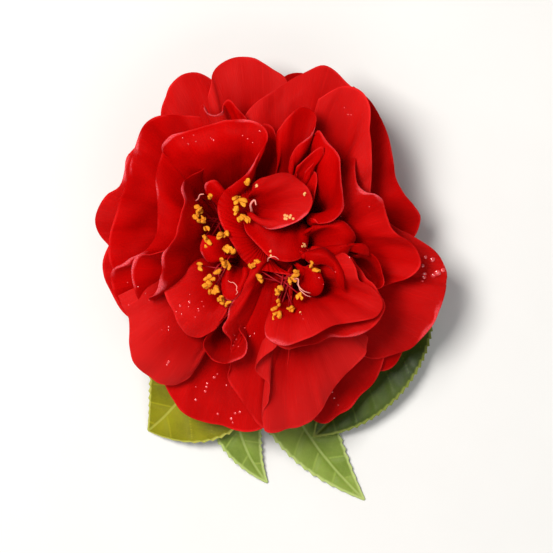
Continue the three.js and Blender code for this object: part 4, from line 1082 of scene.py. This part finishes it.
# %% The four leaves
LIME = leaf_finish("leaf_lime", (0.16, 0.15, 0.003), (0.30, 0.28, 0.008), (0.46, 0.45, 0.08),
                   (0.22, 0.24, 0.04))
GREEN = leaf_finish("leaf_green", (0.13, 0.19, 0.022), (0.26, 0.34, 0.06), (0.42, 0.50, 0.16),
                    (0.16, 0.22, 0.06))
DARK = leaf_finish("leaf_dark", (0.024, 0.042, 0.002), (0.07, 0.105, 0.008), (0.21, 0.24, 0.04),
                   (0.10, 0.14, 0.03))
LEAVES = {
    "leaf_lime": ("leaf_lime", LIME, [-2.2, -1.75, 5.4],
                  [[-6, -6, 6.6], [-10, -22, 9.5], [-22, -43, 9], [-34.6, -52.6, 0.8]],
                  [20, 20], [1.5, 0.8], 0.14),
    "leaf_curved": ("leaf_green", GREEN, [-0.05, -2.3, 3.8],
                    [[-1.5, -8, 4.4], [-10, -28, 4.8], [-15, -50, 4.4], [-0.3, -67.5, 0.9]],
                    [10, 11], [0.4, 0.45], 0.06),
    "leaf_low": ("leaf_green", GREEN, [5.6, -2.3, 2],
                 [[4.5, -8.5, 1.9], [-4, -30, 1.9], [6, -52, 1.9], [27.7, -72.5, 0.6]],
                 [14, 10.5], [0.45, 0.45], 0.06),
    "leaf_right": ("leaf_dark", DARK, [37.5, -0.65, 2.2],
                   [[38, -5, 3.4], [36, -20, 6.5], [27, -42, 6.5], [13, -54, 4.6]],
                   [15, 15], [0.7, 0.7], 0.1),
}
for node, form in LEAVES.items():
    leaf(node, *form)

# %% [markdown]
# ## Dew
# Small drops of water stand on the petals, in little groups, and a few crumbs of pollen lie
# among them. Each is placed by a ray sent down onto the petals, so it sits on whatever petal is
# uppermost there, and lies square to it.


# %% Water, and the tree that sets drops on the petals
def water_finish():
    return surface(finish_tree("dew"), (0.70, 0.03, 0.035, 1.0), 0.12, more={
        "Specular IOR Level": 1.0, "Coat Weight": 1.0, "Coat Roughness": 0.05})


def scatter_tree(target, material):
    tree, start = geometry_tree("scattered_" + material.name, {"Flatness": (LENGTH, 0.5)})
    ground = tree.node("GeometryNodeCollectionInfo", {"Collection": target})
    ray = tree.node("GeometryNodeRaycast", {
        "Target Geometry": tree.node("GeometryNodeRealizeInstances", {"Geometry": ground}),
        "Source Position": tree.node("GeometryNodeInputPosition"),
        "Ray Direction": (0.0, 0.0, -1.0), "Ray Length": 0.2})
    landed = tree.node("GeometryNodeSetPosition", {
        "Geometry": start, "Selection": ray, "Position": ray.out("Hit Position")})
    ball = tree.node("GeometryNodeMeshUVSphere", {"Segments": 14, "Rings": 8, "Radius": 1.0})
    drop = tree.node("GeometryNodeTransform", {
        "Geometry": ball, "Scale": tree.xyz(1.0, 1.0, start.out("Flatness"))})
    drops = tree.node("GeometryNodeInstanceOnPoints", {
        "Points": landed, "Selection": ray, "Instance": drop,
        "Rotation": upright(tree, ray.out("Hit Normal")),
        "Scale": tree.node("GeometryNodeInputNamedAttribute", {"Name": "size"}, data_type="FLOAT")})
    tree.node("NodeGroupOutput", {"Geometry": dressed(tree, drops, material)})
    return tree


# %% Groups of drops and crumbs: the middle of each, how far it spreads, how many, the largest, mm
DROP_GROUPS = [
    ([-20, -17], 2.2, 12, 0.36), ([-29, -22], 1.0, 3, 0.3), ([-22, 30], 1.5, 4, 0.25),
    ([-15, 29], 1.2, 3, 0.28), ([-8, -47], 2.2, 5, 0.5), ([-18, -40], 2.0, 5, 0.45),
    ([-15, -36], 1.6, 4, 0.45), ([22, 38], 1.4, 3, 0.35), ([45, -3], 1.0, 3, 0.9),
    ([47, -6.6], 0.9, 4, 1.1), ([44.4, -8.6], 0.7, 3, 1.0), ([22.4, -3], 0.4, 3, 0.4),
    ([16, -9], 1.2, 4, 0.3), ([9, -19], 1.0, 2, 0.25), ([-27, -33], 1.4, 3, 0.45),
    ([-10, -24], 1.5, 6, 0.34), ([-5, -24], 0.8, 3, 0.3), ([-36, -12], 3.0, 5, 0.25),
    ([25, 8], 3.0, 4, 0.25), ([20, -44], 2.0, 3, 0.3), ([-5, 31], 1.2, 4, 0.28),
]
CRUMB_GROUPS = [
    ([5.6, 8.1], 0.45, 9, 0.5), ([10.0, 14.2], 0.2, 4, 0.35), ([9.9, 0.4], 0.4, 7, 0.45),
    ([0.2, -2.6], 0.9, 8, 0.35), ([-3.0, 16.5], 0.3, 5, 0.4), ([9, -18], 0.2, 3, 0.3),
]
ABOVE = 70.0  # mm above the table, from where the rays go down


def scatter(name, material, groups, flatness):
    spots, sizes = [], []
    for middle, spread, count, largest in groups:
        for _ in range(count):
            spots.append([*(np.array(middle) + draw.normal(0, spread, 2)), ABOVE])
            sizes.append(largest * draw.uniform(0.45, 1.0) * MM)
    crown = bpy.data.collections.new("crown")
    for piece in petals:
        crown.objects.link(piece)
    made = add(name, raw_mesh(name + "_spots", spots))
    made.data.attributes.new("size", "FLOAT", "POINT").data.foreach_set("value", sizes)
    grow(made, scatter_tree(crown, material), {"Flatness": flatness})
    bpy.data.collections.remove(crown)
    place(made, "petal_red", "petals")
    print(name, len(spots), "pieces,", len(made.data.polygons), "faces")


scatter("dew", water_finish(), DROP_GROUPS, 0.5)
scatter("pollen_crumbs", CRUMB, CRUMB_GROUPS, 0.7)

# %% [markdown]
# ## Table, light and camera
# The table is plain and pale. One small soft lamp stands high and a little behind, to the left,
# as the daylight falls in the picture, so that each petal shades the next. A broad weak lamp in
# front and a pale sky fill the shadows. The camera looks straight down.


# %% Table
TABLE_HALF = 2.0  # m
TABLE_TOP = -0.05 * MM  # just under the lowest points of the flower


def table_finish():
    tree = finish_tree("pale_table")
    speckle = tree.noise(tree.spot(), 30.0, 3.0)
    return surface(tree, tree.mix((0.70, 0.69, 0.67), (0.74, 0.73, 0.71), speckle), 0.75)


mesh = bpy.data.meshes.new("table")
mesh.from_pydata([(x * TABLE_HALF, y * TABLE_HALF, TABLE_TOP)
                  for x, y in ((-1, -1), (1, -1), (1, 1), (-1, 1))], [], [(0, 1, 2, 3)])
mesh.materials.append(table_finish())
table = add("table", mesh)
table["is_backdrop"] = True


# %% Lamps and sky
AIM = Vector((0, 0, 30 * MM))  # where the lamps point


def lamp(name, place_at, size, power, colour):
    """A square soft lamp that faces the flower."""
    light = bpy.data.lights.new(name, "AREA")
    light.size, light.energy, light.color = size, power, colour
    made = add(name, light)
    made.location = place_at
    made.rotation_mode = "QUATERNION"
    made.rotation_quaternion = (AIM - made.location).to_track_quat("-Z", "Y")


lamp("window", (-0.25, 0.17, 0.73), 0.28, 7.4, (1.0, 0.98, 0.95))
lamp("bounce", (0.2, -0.55, 0.7), 0.8, 2.2, (1.0, 0.99, 0.98))
world = bpy.data.worlds.new("sky")
world.use_nodes = True
sky = world.node_tree.nodes["Background"].inputs
sky["Color"].default_value = (0.93, 0.96, 1.0, 1.0)
sky["Strength"].default_value = 0.25
bpy.context.scene.world = world
bpy.context.scene.view_settings.view_transform = "Standard"

# %% Camera
HEIGHT = 900.0  # mm above the table
FOCUS = 25.0  # mm above the table, where the picture's scale holds
PICTURE = 553 * 0.28  # mm across at that height: the picture's points, and the size of each
SENSOR = 36.0  # mm
EYE = (1.48, 1.64)  # mm beside the frame's origin
eye = bpy.data.cameras.new("camera")
eye.sensor_width = SENSOR
eye.lens = SENSOR * (HEIGHT - FOCUS) / PICTURE
camera = add("camera", eye)
camera.location = [c * MM for c in (*EYE, HEIGHT)]
bpy.context.scene.camera = camera
print("lens", round(eye.lens, 1), "mm")

# %% Compare the sizes, and finish
visual_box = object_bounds()
for corner, visual in zip(cad_box, visual_box):
    print("CAD and visual, mm:", [(round(a / MM, 1), round(b / MM, 1))
                                  for a, b in zip(corner, visual)])
